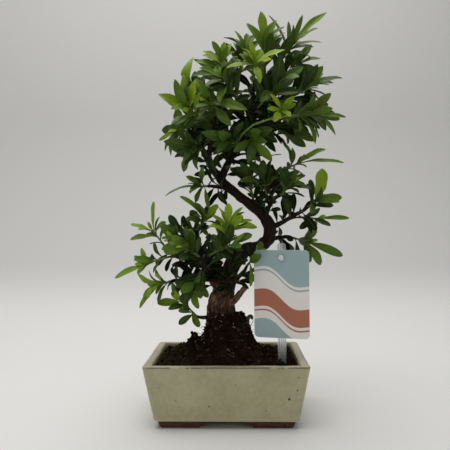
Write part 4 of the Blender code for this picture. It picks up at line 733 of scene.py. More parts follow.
class Leaf:
    """One blade from a root on its stem to a tip, arched along and folded along its rib."""

    def __init__(self, root, tip, face, width, arch, fold):
        self.root = root
        self.tip = tip
        self.axis = (tip - root).normalized()
        self.face = (face - self.axis * face.dot(self.axis)).normalized()
        self.side = self.axis.cross(self.face)
        self.width = width
        self.arch = arch
        self.fold = fold

    def rib(self, share):
        reach = (self.tip - self.root).length
        rise = self.arch * reach * 4 * share * (1 - share)
        return self.root.lerp(self.tip, share) + self.face * rise

    def shape(self, grow=0.0, start=0.0):
        """Points and faces of the blade: keeled three-sided sections that run out to a tip."""
        points = []
        for share in (start, *LEAF_STATIONS):
            middle = self.rib(share)
            wide = half_width(self.width, share) * (LEAF_SWELL if share > PETIOLE else 1.0) + grow
            lift = self.face * (max(wide * self.fold, LEAF_ROOT) + grow)
            keel = self.face * (LEAF_KEEL + grow)
            points += [middle - self.side * wide + lift, middle - keel, middle + self.side * wide + lift]
        points.append(self.tip + self.axis * grow)
        faces = [(0, 2, 1), (6, 7, 9), (7, 8, 9), (8, 6, 9)]
        for k in range(3):
            a, b = k, (k + 1) % 3
            faces += [(a, b, b + 3, a + 3), (a + 3, b + 3, b + 6), (a + 3, b + 6, a + 6)]
        return points, faces


def tree_of(shape):
    """A search tree of a shape's faces."""
    return BVHTree.FromPolygons([tuple(p) for p in shape[0]], shape[1])


def box_of(shape):
    """The lowest and highest corner of a shape."""
    low = [min(p[k] for p in shape[0]) for k in range(3)]
    high = [max(p[k] for p in shape[0]) for k in range(3)]
    return low, high


class Obstacles:
    """What a new leaf has to stay clear of, each with the spray it belongs to."""

    def __init__(self):
        self.rows = []
        self.boxes = np.empty((0, 6))

    def add(self, owner, whole, outer=None):
        """Adds a shape, and the outer part of it that its own spray's leaves have to clear."""
        low, high = box_of(whole)
        tree = tree_of(whole)
        self.rows.append((owner, tree, tree_of(outer) if outer else tree))
        self.boxes = np.vstack((self.boxes, (*low, *high)))

    def near(self, shape):
        """The rows whose boxes meet a shape's box."""
        low, high = box_of(shape)
        meets = np.all(self.boxes[:, :3] <= high, axis=1) & np.all(self.boxes[:, 3:] >= low, axis=1)
        return [self.rows[k] for k in np.nonzero(meets)[0]]

    def touched(self, owner, whole, outer):
        """Whether a leaf meets something else, or its outer part meets a leaf of its own spray."""
        whole_tree, outer_tree = tree_of(whole), tree_of(outer)
        for other, other_whole, other_outer in self.near(whole):
            meets = other_outer.overlap(outer_tree) if other == owner else other_whole.overlap(whole_tree)
            if meets:
                return True
        return False


def out_of_crown(place):
    """The way from the heart of the nearest crown to a place."""
    return min((place - at(*heart) for heart in CROWN_HEARTS), key=lambda gap: gap.length)


def facing(root, axis, along):
    """The side that a blade turns to the light: up, out of its crown and along its shoot."""
    out = out_of_crown(root) * HEART_PULL
    out.y = math.copysign(max(abs(out.y), FRONT_DEPTH), out.y)
    want = (along + UP) * FACE_UPWARD + out.normalized() * FACE_OUTWARD
    face = want - axis * want.dot(axis)
    if face.length < FLAT_FACE:
        face = axis.orthogonal()
    return face.normalized()


def placed_leaf(spray, index, tries):
    """A leaf whose tip is given, nudged a little further at each try."""
    share, x, y, z, width, arch = spray.leaves[index]
    chance = spray.chance("placed", index, tries)
    root, along = spray.on_stem(1 - (1 - share) * spray.top_share)
    slip = min(tries, SLIP_STEPS) * SLIP
    drift = Vector([chance.uniform(-slip, slip) for _ in range(3)])
    tip = at(x, y, z) + drift * SLIP_SHARES
    axis = (tip - root).normalized()
    return Leaf(root, tip, facing(root, axis, along), width * MM, arch, LEAF_FOLD)


def free_leaf(spray, index, tries):
    """A leaf of the spiral round the stem, turned a little further at each try.

    Leaves near the shoot's tip point more along it, and all lean out of their crown."""
    chance = spray.chance("free", index, tries)
    share = SPIRAL_START + SPIRAL_RUN * (index + 0.5) / spray.count
    root, along = spray.on_stem(share)
    wander = WANDER + WANDER_STEP * tries
    turn = index * GOLDEN_ANGLE + spray.count + chance.uniform(-wander, wander)
    opening = OPEN_LOW + (OPEN_TIP - OPEN_LOW) * share + chance.uniform(-wander, wander) * 0.5
    pull = out_of_crown(root).normalized() * LEAF_PULL + UP * LEAF_LIFT
    axis = (math.cos(opening) * along + math.sin(opening) * sideways(along, turn) + pull).normalized()
    reach = spray.length * chance.uniform(*LEAF_LENGTHS) * (1 - LEAF_SHORTEN * tries)
    face = facing(root, axis, along)
    face.rotate(Quaternion(axis, chance.uniform(-LEAF_ROLL, LEAF_ROLL)))
    width, arch = chance.uniform(*LEAF_WIDTHS), chance.uniform(*LEAF_ARCHES)
    return Leaf(root, root + axis * reach, face, width, arch, LEAF_FOLD)


def settled(spray, attempts, clearance, start, obstacles):
    """The first of some leaves that stays clear of everything, or none.

    Up to start, a share of its length, a leaf may touch the others of its own spray."""
    for leaf in attempts:
        outer = leaf.shape(grow=clearance, start=start)
        if not obstacles.touched(spray.name, leaf.shape(grow=clearance), outer):
            obstacles.add(spray.name, leaf.shape(), leaf.shape(start=start))
            return leaf
    return None


def grow_leaves(shoots, obstacles):
    """Grows the listed leaves of every spray first, then the free ones."""
    for grow in (placed_leaf, free_leaf):
        for spray in shoots:
            for index in range(len(spray.leaves) if grow is placed_leaf else spray.count):
                attempts = (grow(spray, index, tries) for tries in range(LEAF_TRIES))
                leaf = settled(spray, attempts, LEAF_CLEARANCE, OWN_START, obstacles)
                if leaf:
                    spray.placed.append(leaf)


def twig_path(spray, start, radius, steps):
    """Wood from a point of the spray's limb to its foot, ending square to the shoot."""
    span = (spray.foot - start).length
    places = bezier(start, spray.foot - spray.heading * (0.45 * span), spray.foot, steps)
    return [(place, radius + (STEM_RADIUS - radius) * k / steps) for k, place in enumerate(places)]


def limb_sprays(name, shoots):
    """The spray nearest a limb's end, and the others, each with the point its twig leaves."""
    path = smooth_path(LIMBS[name], 1)
    mine = sorted((s for s in shoots if s.limb == name), key=lambda s: (s.foot - path[-1][0]).length)
    others = []
    for spray in mine[1:]:
        reach = [(p - spray.foot).length for p, _ in path]
        others.append((spray, path[max(reach.index(min(reach)) - 1, 0)][0]))
    return mine[0] if mine else None, others


def limb_shapes(shoots):
    """All limbs, each run on to its nearest spray, and the other sprays' twigs, as shapes."""
    shapes = []
    for name, points in LIMBS.items():
        path = smooth_path(points, 1)
        nearest, others = limb_sprays(name, shoots)
        if nearest:
            path += twig_path(nearest, *path[-1], 2)[1:]
        shapes.append(tube(path, LIMB_SIDES, end=nearest.heading if nearest else None))
        for spray, start in others:
            path = twig_path(spray, start, TWIG_RADIUS, 2)
            shapes.append(tube(path, TWIG_SIDES, end=spray.heading))
    return shapes


class Piece:
    """Gathers the points, faces, paint and material numbers of one piece of the picture."""

    def __init__(self):
        self.points = []
        self.faces = []
        self.looks = []
        self.paint = {}

    def add(self, points, faces, look=0, **paint):
        """Adds a shape. Each paint is one value, or a list with a value for every point."""
        base = len(self.points)
        self.points += [tuple(p) for p in points]
        self.faces += [tuple(i + base for i in face) for face in faces]
        self.looks += [look] * len(faces)
        for key, values in paint.items():
            if not isinstance(values, list):
                values = [values] * len(points)
            row = self.paint.setdefault(key, [])
            row += [blank(values)] * (base - len(row))
            row += values

    def make(self, name, materials, smooth=True):
        """The finished mesh object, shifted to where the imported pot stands."""
        mesh = bpy.data.meshes.new(name)
        mesh.from_pydata(self.points, [], self.faces)
        mesh.update()
        mesh.polygons.foreach_set("material_index", self.looks)
        for made in materials:
            mesh.materials.append(made)
        if smooth:
            mesh.shade_smooth()
        mesh.transform(Matrix.Translation(POT_MIDDLE))
        obj = add_object(name, mesh)
        for key, row in self.paint.items():
            add_paint(obj, key, row + [blank(row)] * (len(self.points) - len(row)))
        return obj


def mesh_points(obj):
    """The points of a mesh as an array of rows."""
    places = np.empty(len(obj.data.vertices) * 3, np.float32)
    obj.data.vertices.foreach_get("co", places)
    return places.reshape(-1, 3)


def blank(values):
    """What stands for a missing value of a paint."""
    return (0.0, 0.0, 0.0) if isinstance(values[0], tuple) else 0.0


def add_object(name, data):
    """A new object of the scene."""
    obj = bpy.data.objects.new(name, data)
    bpy.context.scene.collection.objects.link(obj)
    return obj


def set_points(obj, places):
    """Moves the points of a mesh to the rows of an array."""
    obj.data.vertices.foreach_set("co", places.astype(np.float32).ravel())
    obj.data.update()


def add_paint(obj, key, values):
    """Paints a mesh with one value or one vector a point."""
    values = np.asarray(values, np.float32)
    wide = values.ndim == 2
    layer = obj.data.attributes.new(key, "FLOAT_VECTOR" if wide else "FLOAT", "POINT")
    layer.data.foreach_set("vector" if wide else "value", values.ravel())


def turned_out(points, faces):
    """The faces of a closed shape, turned so that they look outwards."""
    volume = 0.0
    for face in faces:
        a = Vector(points[face[0]])
        for k in range(1, len(face) - 1):
            volume += a.dot(Vector(points[face[k]]).cross(Vector(points[face[k + 1]])))
    return faces if volume > 0 else [tuple(reversed(face)) for face in faces]


def dress(obj, look, sharp):
    """Gives a piece its one material and keeps the edges sharp that are above an angle."""
    obj.data.shade_smooth()
    obj.data.set_sharp_from_angle(angle=sharp)
    obj.data.materials.clear()
    obj.data.materials.append(look)


class Wire:
    """A value that runs from one node of a material to others, so that sums can be written plainly."""

    def __init__(self, look, socket):
        self.look = look
        self.socket = socket

    def __add__(self, other):
        return self.look.math("ADD", self, other)

    def __mul__(self, other):
        return self.look.math("MULTIPLY", self, other)

    def __sub__(self, other):
        return self.look.math("SUBTRACT", self, other)

    def __rsub__(self, other):
        return self.look.math("SUBTRACT", other, self)

    __rmul__ = __mul__


class Shader:
    """A material made of nodes round one Principled shader."""

    def __init__(self, name, **values):
        self.material = bpy.data.materials.new(name)
        self.material.use_nodes = True
        self.tree = self.material.node_tree
        self.surface = self.tree.nodes["Principled BSDF"]
        self.set(**values)

    def set(self, **values):
        for key, value in values.items():
            self.fill(self.surface.inputs[key.replace("_", " ")], value)

    def fill(self, socket, value):
        if isinstance(value, Wire):
            self.tree.links.new(value.socket, socket)
        else:
            socket.default_value = (*value, 1.0) if socket.type == "RGBA" else value

    def node(self, kind, inputs=(), **settings):
        """A node with its settings and inputs, which go by name or number."""
        made = self.tree.nodes.new("ShaderNode" + kind)
        for key, value in settings.items():
            setattr(made, key, value)
        for key, value in dict(inputs).items():
            self.fill(made.inputs[key], value)
        return made

    def wire(self, output, kind, inputs=(), **settings):
        return Wire(self, self.node(kind, inputs, **settings).outputs[output])

    def place(self):
        return self.wire("Object", "TexCoord")

    def attribute(self, name, output="Fac"):
        return self.wire(output, "Attribute", attribute_name=name)

    def parts(self, vector):
        """The x, y and z of a vector."""
        split = self.node("SeparateXYZ", {"Vector": vector})
        return [Wire(self, socket) for socket in split.outputs]

    def math(self, operation, a, b=0.0, c=0.0):
        return self.wire("Value", "Math", {0: a, 1: b, 2: c}, operation=operation)

    def scaled(self, vector, x, y, z):
        return self.wire("Vector", "VectorMath", {0: vector, 1: (x, y, z)}, operation="MULTIPLY")

    def gap(self, vector, spot):
        """How far a place is from a spot."""
        return self.wire("Value", "VectorMath", {0: vector, 1: spot}, operation="DISTANCE")

    def noise(self, vector, scale, detail=3.0, roughness=0.55, distortion=0.0):
        return self.wire("Fac", "TexNoise", {
            "Vector": vector, "Scale": scale, "Detail": detail, "Roughness": roughness,
            "Distortion": distortion})

    def cells(self, vector, scale):
        return self.wire("Distance", "TexVoronoi", {"Vector": vector, "Scale": scale})

    def step(self, value, low, high):
        """A smooth step from 0 at low to 1 at high."""
        return self.wire("Result", "MapRange", {"Value": value, "From Min": low, "From Max": high},
                         interpolation_type="SMOOTHSTEP")

    def fall(self, value, low, high):
        """A smooth step from 1 at low to 0 at high."""
        return 1.0 - self.step(value, low, high)

    def span(self, value, low, high):
        """A value from 0 to 1 spread from low to high."""
        return self.wire("Result", "MapRange", {"Value": value, "To Min": low, "To Max": high})

    def ramp(self, value, stops):
        """A colour for each value, from stops of place and colour."""
        made = self.node("ValToRGB", {"Fac": value})
        bar = made.color_ramp.elements
        while len(bar) < len(stops):
            bar.new(0.5)
        for element, (place, colour) in zip(bar, stops):
            element.position = place
            element.color = (*colour, 1.0)
        return Wire(self, made.outputs["Color"])

    def mix(self, share, a, b):
        """Colour a with a share of colour b in it."""
        return self.wire(2, "Mix", {"Factor": share, 6: a, 7: b}, data_type="RGBA")

    def bump(self, height, depth, strength):
        self.set(Normal=self.wire("Normal", "Bump", {
            "Height": height, "Distance": depth, "Strength": strength}))


def leaf_material():
    """A glossy blade: pale midrib and side veins, paler below, young leaves lighter, painted shade inside
    the crown.
    """
    look = Shader("leaf_blade", Roughness=0.35, Specular_Tint=LEAF_SHEEN)
    place = look.place()
    across, along, _ = look.parts(look.attribute("blade", "Vector"))
    across = look.math("ABSOLUTE", across)
    under = look.attribute("under")
    mottle = look.noise(place, 260, 3)
    tone = look.attribute("tone") + look.span(mottle, -LEAF_MOTTLE, LEAF_MOTTLE)
    rib = look.fall(across, *RIB_EDGE)
    vein = leaf_veins(look, place, across, along)
    colour = look.ramp(tone, LEAF_TONES)
    pale = look.mix(0.5, colour, LEAF_RIB)
    colour = look.mix(0.75 * rib, colour, pale)
    colour = look.mix(0.28 * vein, colour, pale)
    colour = look.mix(0.5 * look.fall(along, *STALK_EDGE), colour, LEAF_RIB)
    colour = look.mix(0.62 * under, colour, LEAF_BELOW)
    gloss = look.span(look.noise(place, 120, 2), *LEAF_GLOSS) + 0.25 * under
    shine = 0.3 * look.step(tone, 0.0, 0.4)
    look.set(Base_Color=colour, Roughness=gloss, Specular_IOR_Level=shine)
    relief = -1.0 * (rib + 0.55 * vein) + 0.35 * mottle
    look.bump(relief, 0.16 * MM, 0.55)
    return look.material


def leaf_veins(look, place, across, along):
    """Side veins that slant out from the rib and fade before the edge."""
    slant = look.math("MULTIPLY_ADD", across, VEIN_SLANT, along * VEIN_COUNT)
    wander = slant + 0.5 * look.noise(place, 500, 1)
    ripple = look.math("ABSOLUTE", look.math("FRACT", wander) - 0.5)
    return look.fall(ripple, *VEIN_EDGE) * look.fall(across, *VEIN_END)


def stem_material():
    """Green shoots that turn brown towards the wood."""
    look = Shader("shoot_stem", Roughness=0.5)
    fleck = look.noise(look.place(), 700, 2)
    age = look.attribute("age") + look.span(fleck, -0.15, 0.15)
    look.set(Base_Color=look.ramp(age, STEM_TONES))
    look.bump(fleck, 0.12 * MM, 0.5)
    return look.material


def bark_material():
    """Red-brown bark that flakes in long plates on the trunk and is dark and smooth on twigs."""
    look = Shader("flaky_bark", Roughness=0.85, Specular_IOR_Level=0.2)
    place = look.place()
    course = look.attribute("course", "Vector")
    plates = look.noise(look.scaled(course, 1.0, 1.0, 0.0), 1.0, 4, 0.6, 0.6)
    fibre = look.noise(look.scaled(course, 1.4, 7.0, 0.0), 2.2, 3, 0.6, 0.3)
    cracks = look.fall(look.noise(look.scaled(course, 0.45, 2.6, 0.0), 1.3, 3, 0.6, 0.4), 0.38, 0.48)
    trunk = look.ramp(0.62 * plates + 0.38 * fibre, BARK_TONES)
    twig = look.ramp(fibre, TWIG_TONES)
    # Light old bark low on the trunk, dark bark on twigs and higher up, partly painted shade under the crown
    colour = look.mix(look.step(look.attribute("thick"), 0.25, 0.85), twig, trunk)
    colour = look.mix(0.35 * look.noise(place, 900, 2), colour, BARK_GRIT)
    colour = look.mix(0.6 * cracks, colour, BARK_CRACK)
    dirt = look.fall(look.parts(place)[2], *DIRT_HEIGHTS)
    colour = look.mix(dirt * look.step(look.noise(place, 240, 3), 0.3, 0.55), colour, BARK_DIRT)
    rings = look.math("FRACT", 3.0 * look.attribute("course"))
    cut = look.mix(0.3 * rings, CUT_WOOD, CUT_WOOD_DARK)
    colour = look.mix(look.attribute("cut"), colour, cut)
    look.set(Base_Color=colour, Roughness=look.span(plates, 0.7, 0.95))
    relief = 0.7 * look.step(plates, 0.42, 0.56) + 0.5 * fibre - cracks
    look.bump(relief, 0.7 * MM, 0.8)
    return look.material


def soil_material():
    """Dark crumbly potting soil with brown fibres, pale roots and a film of moss."""
    look = Shader("potting_soil", Roughness=0.95, Specular_IOR_Level=0.03)
    place = look.place()
    grain = look.noise(place, 900, 5, 0.65)
    patch = look.noise(place, 90, 3)
    shade = 0.6 * grain + 0.4 * patch + 0.35 * look.attribute("kind")
    green = look.attribute("moss") * look.step(look.noise(place, 420, 4), 0.5, 0.68)
    look.set(Base_Color=look.mix(green, look.ramp(shade, SOIL_TONES), MOSS))
    look.bump(grain, 0.7 * MM, 0.8)
    return look.material


def root_material():
    """Fine roots: pale where they are young, brown where they are old."""
    look = Shader("fine_root", Roughness=0.7)
    fleck = look.noise(look.place(), 800, 2)
    age = look.attribute("age") + look.span(fleck, -0.2, 0.2)
    look.set(Base_Color=look.ramp(age, ROOT_TONES))
    look.bump(fleck, 0.1 * MM, 0.5)
    return look.material


def glaze_material():
    """A celadon glaze: mottled, broken to brown along the lip, with pinholes, on bare clay feet in painted
    shade.
    """
    look = Shader("celadon_glaze", Roughness=0.3)
    place = look.place()
    fine = look.noise(place, 240, 4)
    body = look.ramp(0.6 * look.noise(place, 28, 3) + 0.4 * fine, GLAZE_TONES)
    specks = look.fall(look.cells(place, 210), 0.03, 0.1) * look.step(look.noise(place, 60, 1), 0.55, 0.62)
    body = look.mix(0.55 * specks, body, GLAZE_SPECK)
    thin = look.attribute("edge") * look.step(look.noise(place, 110, 4, 0.7), 0.36, 0.54)
    body = look.mix(0.9 * thin, body, GLAZE_BREAK)
    # A pale line painted along the pot's rounded bottom edge
    body = look.mix(look.attribute("base") * look.span(fine, 0.2, 0.8), body, GLAZE_BASE_LINE)
    pits = pinholes(look, place)
    body = look.mix(pits, body, PINHOLE)
    # Bare clay in its own colour, darkened as painted shade under the pot
    clay = look.ramp(look.noise(place, 320, 4), SHADED_CLAY_TONES)
    bare = look.fall(look.parts(place)[2], FOOT_HEIGHT - GLAZE_END, FOOT_HEIGHT + GLAZE_END)
    rough = look.span(fine, 0.26, 0.4) + 0.5 * bare
    look.set(Base_Color=look.mix(bare, body, clay), Roughness=rough)
    look.bump(0.25 * fine - pits - 0.3 * thin, 0.25 * MM, 0.7)
    return look.material


def pinholes(look, place):
    """Pits in the glaze: scattered ones, and those that show on the front."""
    pits = look.fall(look.cells(place, 52), 0.045, 0.075) * look.step(look.noise(place, 19, 1), 0.6, 0.66)
    front = look.math("LESS_THAN", look.parts(place)[1], POT_MIDDLE.y)
    flat = look.scaled(place, 1.0, 0.0, 1.0)
    for x, z, radius in PITS:
        spot = at(x, 0, z) + POT_MIDDLE
        near = look.fall(look.gap(flat, (spot.x, 0.0, spot.z)), 0.7 * radius * MM, 1.3 * radius * MM)
        pits = look.math("MAXIMUM", pits, near * front)
    return pits


def card_material():
    """A plain printed pattern for the plant card: slanting waves in cream, teal and rust."""
    look = Shader("card_print", Roughness=0.38)
    place = look.place()
    x, y, _ = look.parts(look.attribute("print", "Vector"))
    wave = look.math("SINE", x * (2 * math.pi / CARD_WAVE))
    slant = look.math("MULTIPLY_ADD", wave, CARD_WAVE_HEIGHT, look.math("MULTIPLY_ADD", x, CARD_SLOPE, y))
    stripes = look.math("FRACT", (y - x * 1.5) * 0.42)
    rust = look.mix(look.step(stripes, 0.62, 0.7), CARD_RUST, CARD_RUST_DARK)
    colour = CARD_CREAM
    for (low, high), ink in zip(CARD_BANDS, (CARD_TEAL, CARD_TEAL, rust, CARD_RUST, CARD_TEAL)):
        band = look.step(slant, low - 0.1, low + 0.1) * look.fall(slant, high - 0.1, high + 0.1)
        colour = look.mix(band, colour, ink)
    colour = look.mix(0.1 * look.noise(place, 300, 3), colour, CARD_DUST)
    colour = look.mix(look.attribute("front"), CARD_CREAM, colour)
    look.set(Base_Color=colour, Roughness=look.span(look.noise(place, 150, 2), 0.3, 0.44))
    look.bump(look.noise(place, 1400, 2), 0.03 * MM, 0.4)
    return look.material


def clear_material():
    """Clear moulded plastic with a faint haze."""
    look = Shader("clear_plastic", Roughness=0.18, Base_Color=CLEAR_COLOUR, Transmission_Weight=0.82,
                  IOR=1.46)
    haze = look.noise(look.place(), 200, 2)
    look.set(Roughness=look.span(haze, 0.12, 0.3))
    look.bump(haze, 0.08 * MM, 0.4)
    return look.material


def stage_material():
    """A matt pale floor that darkens a little towards the wall, as painted shade."""
    look = Shader("floor", Roughness=0.75)
    rise = look.step(look.parts(look.place())[2], 0.0, 0.12)
    cloud = look.noise(look.place(), 1.5, 2)
    # Painted shade: the wall's darker colour, faintly clouded with the floor's
    wall = look.mix(0.12 * cloud, SHADED_WALL_COLOUR, FLOOR_COLOUR)
    look.set(Base_Color=look.mix(rise, FLOOR_COLOUR, wall))
    return look.material


def blade_half(width, share, blunt):
    """Half the fine blade's width: blunt ones are widest further out."""
    if share <= PETIOLE:
        return LEAF_ROOT
    part = (share - PETIOLE) / (1 - PETIOLE)
    swell = max(math.sin(math.pi * part ** (1.12 + 0.35 * blunt)), 0.0) ** (0.72 - 0.2 * blunt)
    return max(0.5 * width * (1 - 0.12 * blunt) * swell, LEAF_ROOT * (1 - 0.6 * part))


class Blade:
    """The fine form of one leaf: folded, waved, a little twisted, with a raised rib below."""

    def __init__(self, leaf, blunt, chance):
        self.leaf = leaf
        self.blunt = blunt
        self.twist = chance.uniform(*BLADE_TWISTS)
        self.wave = chance.uniform(*BLADE_WAVES)
        self.phase = chance.uniform(0, SOME_TURN)
        self.ripples = chance.uniform(*BLADE_RIPPLES)
        self.fold = leaf.fold * chance.uniform(*BLADE_FOLDS)
        self.curl = chance.uniform(*BLADE_CURLS) * (leaf.tip - leaf.root).length
        self.mark = chance.random()

    def section(self, share):
        """A ring of points at a share of the length: over the blade and back under it."""
        leaf = self.leaf
        turn = self.twist * (share - TWIST_START)
        side = math.cos(turn) * leaf.side + math.sin(turn) * leaf.face
        face = math.cos(turn) * leaf.face - math.sin(turn) * leaf.side
        half = blade_half(leaf.width, share, self.blunt)
        stalk = 1 - blend_in(*BLADE_OPENS, share)
        thick = BLADE_THICKNESS * (1 + 1.4 * stalk)
        middle = leaf.rib(share) - leaf.face * (self.curl * share ** 3)
        top, low = [], []
        for u in BLADE_ACROSS:
            ripple = math.sin(self.phase + self.ripples * share + (WAVE_SHIFT if u > 0 else 0.0))
            lift = half * self.fold * abs(u) ** 1.4 * (1 - stalk)
            lift += half * self.wave * u * u * ripple * (1 - stalk)
            lift -= RIB_GROOVE * (1 - stalk) * (u == 0)
            spot = middle + side * (u * half) + face * lift
            top.append(spot - face * (0.3 * thick * (abs(u) == 1)))
            body = thick * (1 - 0.4 * abs(u)) + (RIB_HEIGHT * (1 - share) if u == 0 else 0.0)
            low.append(spot - face * body)
        return top + low[-2:0:-1]

    def add_to(self, piece, tone):
        """Adds the blade to a piece, painted with its places, its underside and its tone."""
        around = BLADE_ACROSS + BLADE_ACROSS[-2:0:-1]
        below = [0.5 * (abs(u) == 1) for u in BLADE_ACROSS] + [1.0] * (len(BLADE_ACROSS) - 2)
        points, spots = [], []
        for share in BLADE_ALONG:
            points += self.section(share)
            spots += [(u, share, self.mark) for u in around]
        points.append(self.leaf.tip - self.leaf.face * self.curl)
        spots.append((0.0, 1.0, self.mark))
        ring = len(around)
        last = (len(BLADE_ALONG) - 1) * ring
        faces = [tuple(reversed(range(ring)))] + ring_faces(ring, len(BLADE_ALONG))
        faces += [(last + k, last + (k + 1) % ring, last + ring) for k in range(ring)]
        under = below * len(BLADE_ALONG) + [0.5]
        piece.add(points, turned_out(points, faces), BLADE_LOOK, blade=spots, under=under, tone=tone)


def add_stem(piece, places, radii, age):
    """A round shoot with slight knots, older at its foot."""
    path = []
    for k, place in enumerate(places):
        share = k / (len(places) - 1)
        radius = radii[0] + (radii[1] - radii[0]) * share
        path.append((place, radius * (STEM_KNOT if k % 3 == 1 else 1.0)))
    points, faces = tube(path, FINE_STEM_SIDES)
    ages = [age * (1 - k / (len(path) - 1)) for k in range(len(path)) for _ in range(FINE_STEM_SIDES)]
    piece.add(points, faces, STEM_LOOK, age=ages)


def extra_leaf(spray, index, tries):
    """One more leaf in the gaps of a spray, smaller than its own."""
    chance = spray.chance("extra", index, tries)
    root, along = spray.on_stem(0.06 + 0.9 * (index + 0.5) / EXTRA_LEAVES)
    turn = index * GOLDEN_ANGLE + 1.9 + spray.count + chance.uniform(-0.3, 0.3) + 0.25 * tries
    reach = spray.length * chance.uniform(*EXTRA_LENGTHS)
    return spread_leaf(root, along, turn, chance, reach, EXTRA_ANGLES)


def tip_leaf(spray, index, tries):
    """A small young leaf at the end of a shoot."""
    chance = spray.chance("tip", index, tries)
    root, along = spray.on_stem(0.995)
    turn = index * GOLDEN_ANGLE + chance.uniform(-0.4, 0.4)
    return spread_leaf(root, along, turn, chance, chance.uniform(*TIP_LENGTHS) * MM, TIP_ANGLES)


def spur_leaf(place, radius, along, chance):
    """A leaf of a short tuft on a limb."""
    out = sideways(along, chance.uniform(0, 2 * math.pi))
    reach = chance.uniform(*SPUR_LENGTHS) * MM
    heading = (out + 0.35 * along).normalized()
    turn = chance.uniform(0, SOME_TURN)
    return spread_leaf(place + out * (0.7 * radius), heading, turn, chance, reach, SPUR_ANGLES)


def spread_leaf(root, along, turn, chance, reach, angles):
    """A leaf that leaves its stem at a turn round it and an angle to it, in degrees."""
    opening = math.radians(chance.uniform(*angles))
    axis = (math.cos(opening) * along + math.sin(opening) * sideways(along, turn) + UP * 0.1).normalized()
    face = facing(root, axis, along)
    face.rotate(Quaternion(axis, chance.uniform(-LEAF_ROLL, LEAF_ROLL)))
    width = reach * chance.uniform(*SPREAD_WIDTHS)
    return Leaf(root, root + axis * reach, face, width, chance.uniform(*SPREAD_ARCHES), LEAF_FOLD)


def grow_extra(shoots, obstacles):
    """Leaves that fill the sprays, and the small ones at their tips."""
    for grow, count in ((extra_leaf, EXTRA_LEAVES), (tip_leaf, TIP_LEAVES)):
        for spray in shoots:
            for index in range(count):
                attempts = (grow(spray, index, tries) for tries in range(EXTRA_TRIES))
                leaf = settled(spray, attempts, EXTRA_CLEARANCE, 2 * OWN_START, obstacles)
                if leaf:
                    spray.more.append((leaf, grow is tip_leaf))


def grow_spur(owner, place, radius, along, chance, obstacles):
    """The leaves of one short tuft that find room."""
    leaves = []
    for _ in range(SPUR_LEAVES):
        for _ in range(EXTRA_TRIES):
            leaf = spur_leaf(place, radius, along, chance)
            whole = leaf.shape(grow=EXTRA_CLEARANCE, start=SPUR_START)
            if not obstacles.touched(None, whole, whole):
                obstacles.add(owner, leaf.shape(start=SPUR_START))
                leaves.append(leaf)
                break
    return leaves


def grow_spurs(obstacles):
    """Short tufts of leaves along the limbs inside the crowns, as (limb, leaf) pairs."""
    tufts = []
    for name in [limb for limb in LIMBS if limb not in BARE_LIMBS]:
        path = smooth_path(LIMBS[name], 3)
        for k in range(2, len(path) - 1):
            chance = random.Random(f"{SEED} spur {name} {k}")
            along = (path[k + 1][0] - path[k - 1][0]).normalized()
            leaves = grow_spur(f"spur_{name}_{k}", *path[k], along, chance, obstacles)
            tufts += [(name, leaf) for leaf in leaves]
    return tufts


def leaf_tone(spray, root, chance):
    """How light a leaf is: by its spray, in part painted light, its place along the shoot and chance."""
    along = (root - spray.foot).length / max((spray.tip - spray.foot).length, 1 * MM)
    tone = TONES.get(spray.name[6:], TONE) + TONE_RISE * (min(along, 1.0) - 0.5)
    return tone + chance.uniform(-TONE_SPREAD, TONE_SPREAD)


def blunt_share(place):
    """Leaves of the lower crowns are rounder than those at the top."""
    return 1 - blend_in(*BLUNT_HEIGHTS, place.z)


def make_spray(spray, looks):
    """The fine piece that stands for one spray of the solids."""
    piece = Piece()
    places = spray.stem(-STEM_SUNK, FINE_STEPS)
    age = YOUNG_AGE if spray.young else OLD_AGE
    add_stem(piece, places, FINE_STEM_RADII, age)
    if spray.name in LONG_SHOOTS:
        course = [at(*point) for point in LONG_SHOOTS[spray.name]]
        add_stem(piece, course, (STEM_RADIUS, STEM_TIP_RADIUS), YOUNG_AGE)
    lighter = LIGHTER.get(spray.name[6:], ())
    leaves = [(leaf, lighter[k] if k < len(lighter) else 0.0) for k, leaf in enumerate(spray.placed)]
    leaves += [(leaf, TIP_LIGHTER if at_tip else EXTRA_LIGHTER) for leaf, at_tip in spray.more]
    for index, (leaf, more) in enumerate(leaves):
        chance = random.Random(f"{SEED} look {spray.name} {index}")
        tone = leaf_tone(spray, leaf.root, chance) + more
        blunt = blunt_share(leaf.root) * chance.uniform(0.6, 1.2)
        Blade(leaf, blunt, chance).add_to(piece, tone)
    made = piece.make(spray.name.replace("spray", "leaves"), looks)
    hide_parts(spray.name)
    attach(made, "root")


def make_tufts(tufts, looks):
    """The inner leaves of each crown, as one piece a crown, painted dark as shade inside the crown."""
    crowns = {}
    for name, leaf in tufts:
        crown = name.split("_")[0]
        crowns.setdefault(crown if crown in ("crown", "middle", "low") else "fork", []).append(leaf)
    for crown, leaves in crowns.items():
        piece = Piece()
        for index, leaf in enumerate(leaves):
            chance = random.Random(f"{SEED} tuft {crown} {index}")
            # Painted shade: a dark tone for the shade inside the crown
            tone = TUFT_SHADE_TONE + chance.uniform(-TUFT_SPREAD, TUFT_SPREAD)
            Blade(leaf, blunt_share(leaf.root), chance).add_to(piece, tone)
        made = piece.make(f"inner_leaves_{crown}", looks)
        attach(made, "root")


def fine_limbs(shoots):
    """The paths of all limbs and twigs, finely stepped."""
    paths = []
    for name, points in LIMBS.items():
        path = smooth_path(points, 5)
        nearest, others = limb_sprays(name, shoots)
        paths += [twig_path(spray, start, TWIG_RADIUS, FINE_STEPS) for spray, start in others]
        if nearest:
            path += twig_path(nearest, *path[-1], FINE_STEPS)[1:]
        paths.append(path)
    return paths


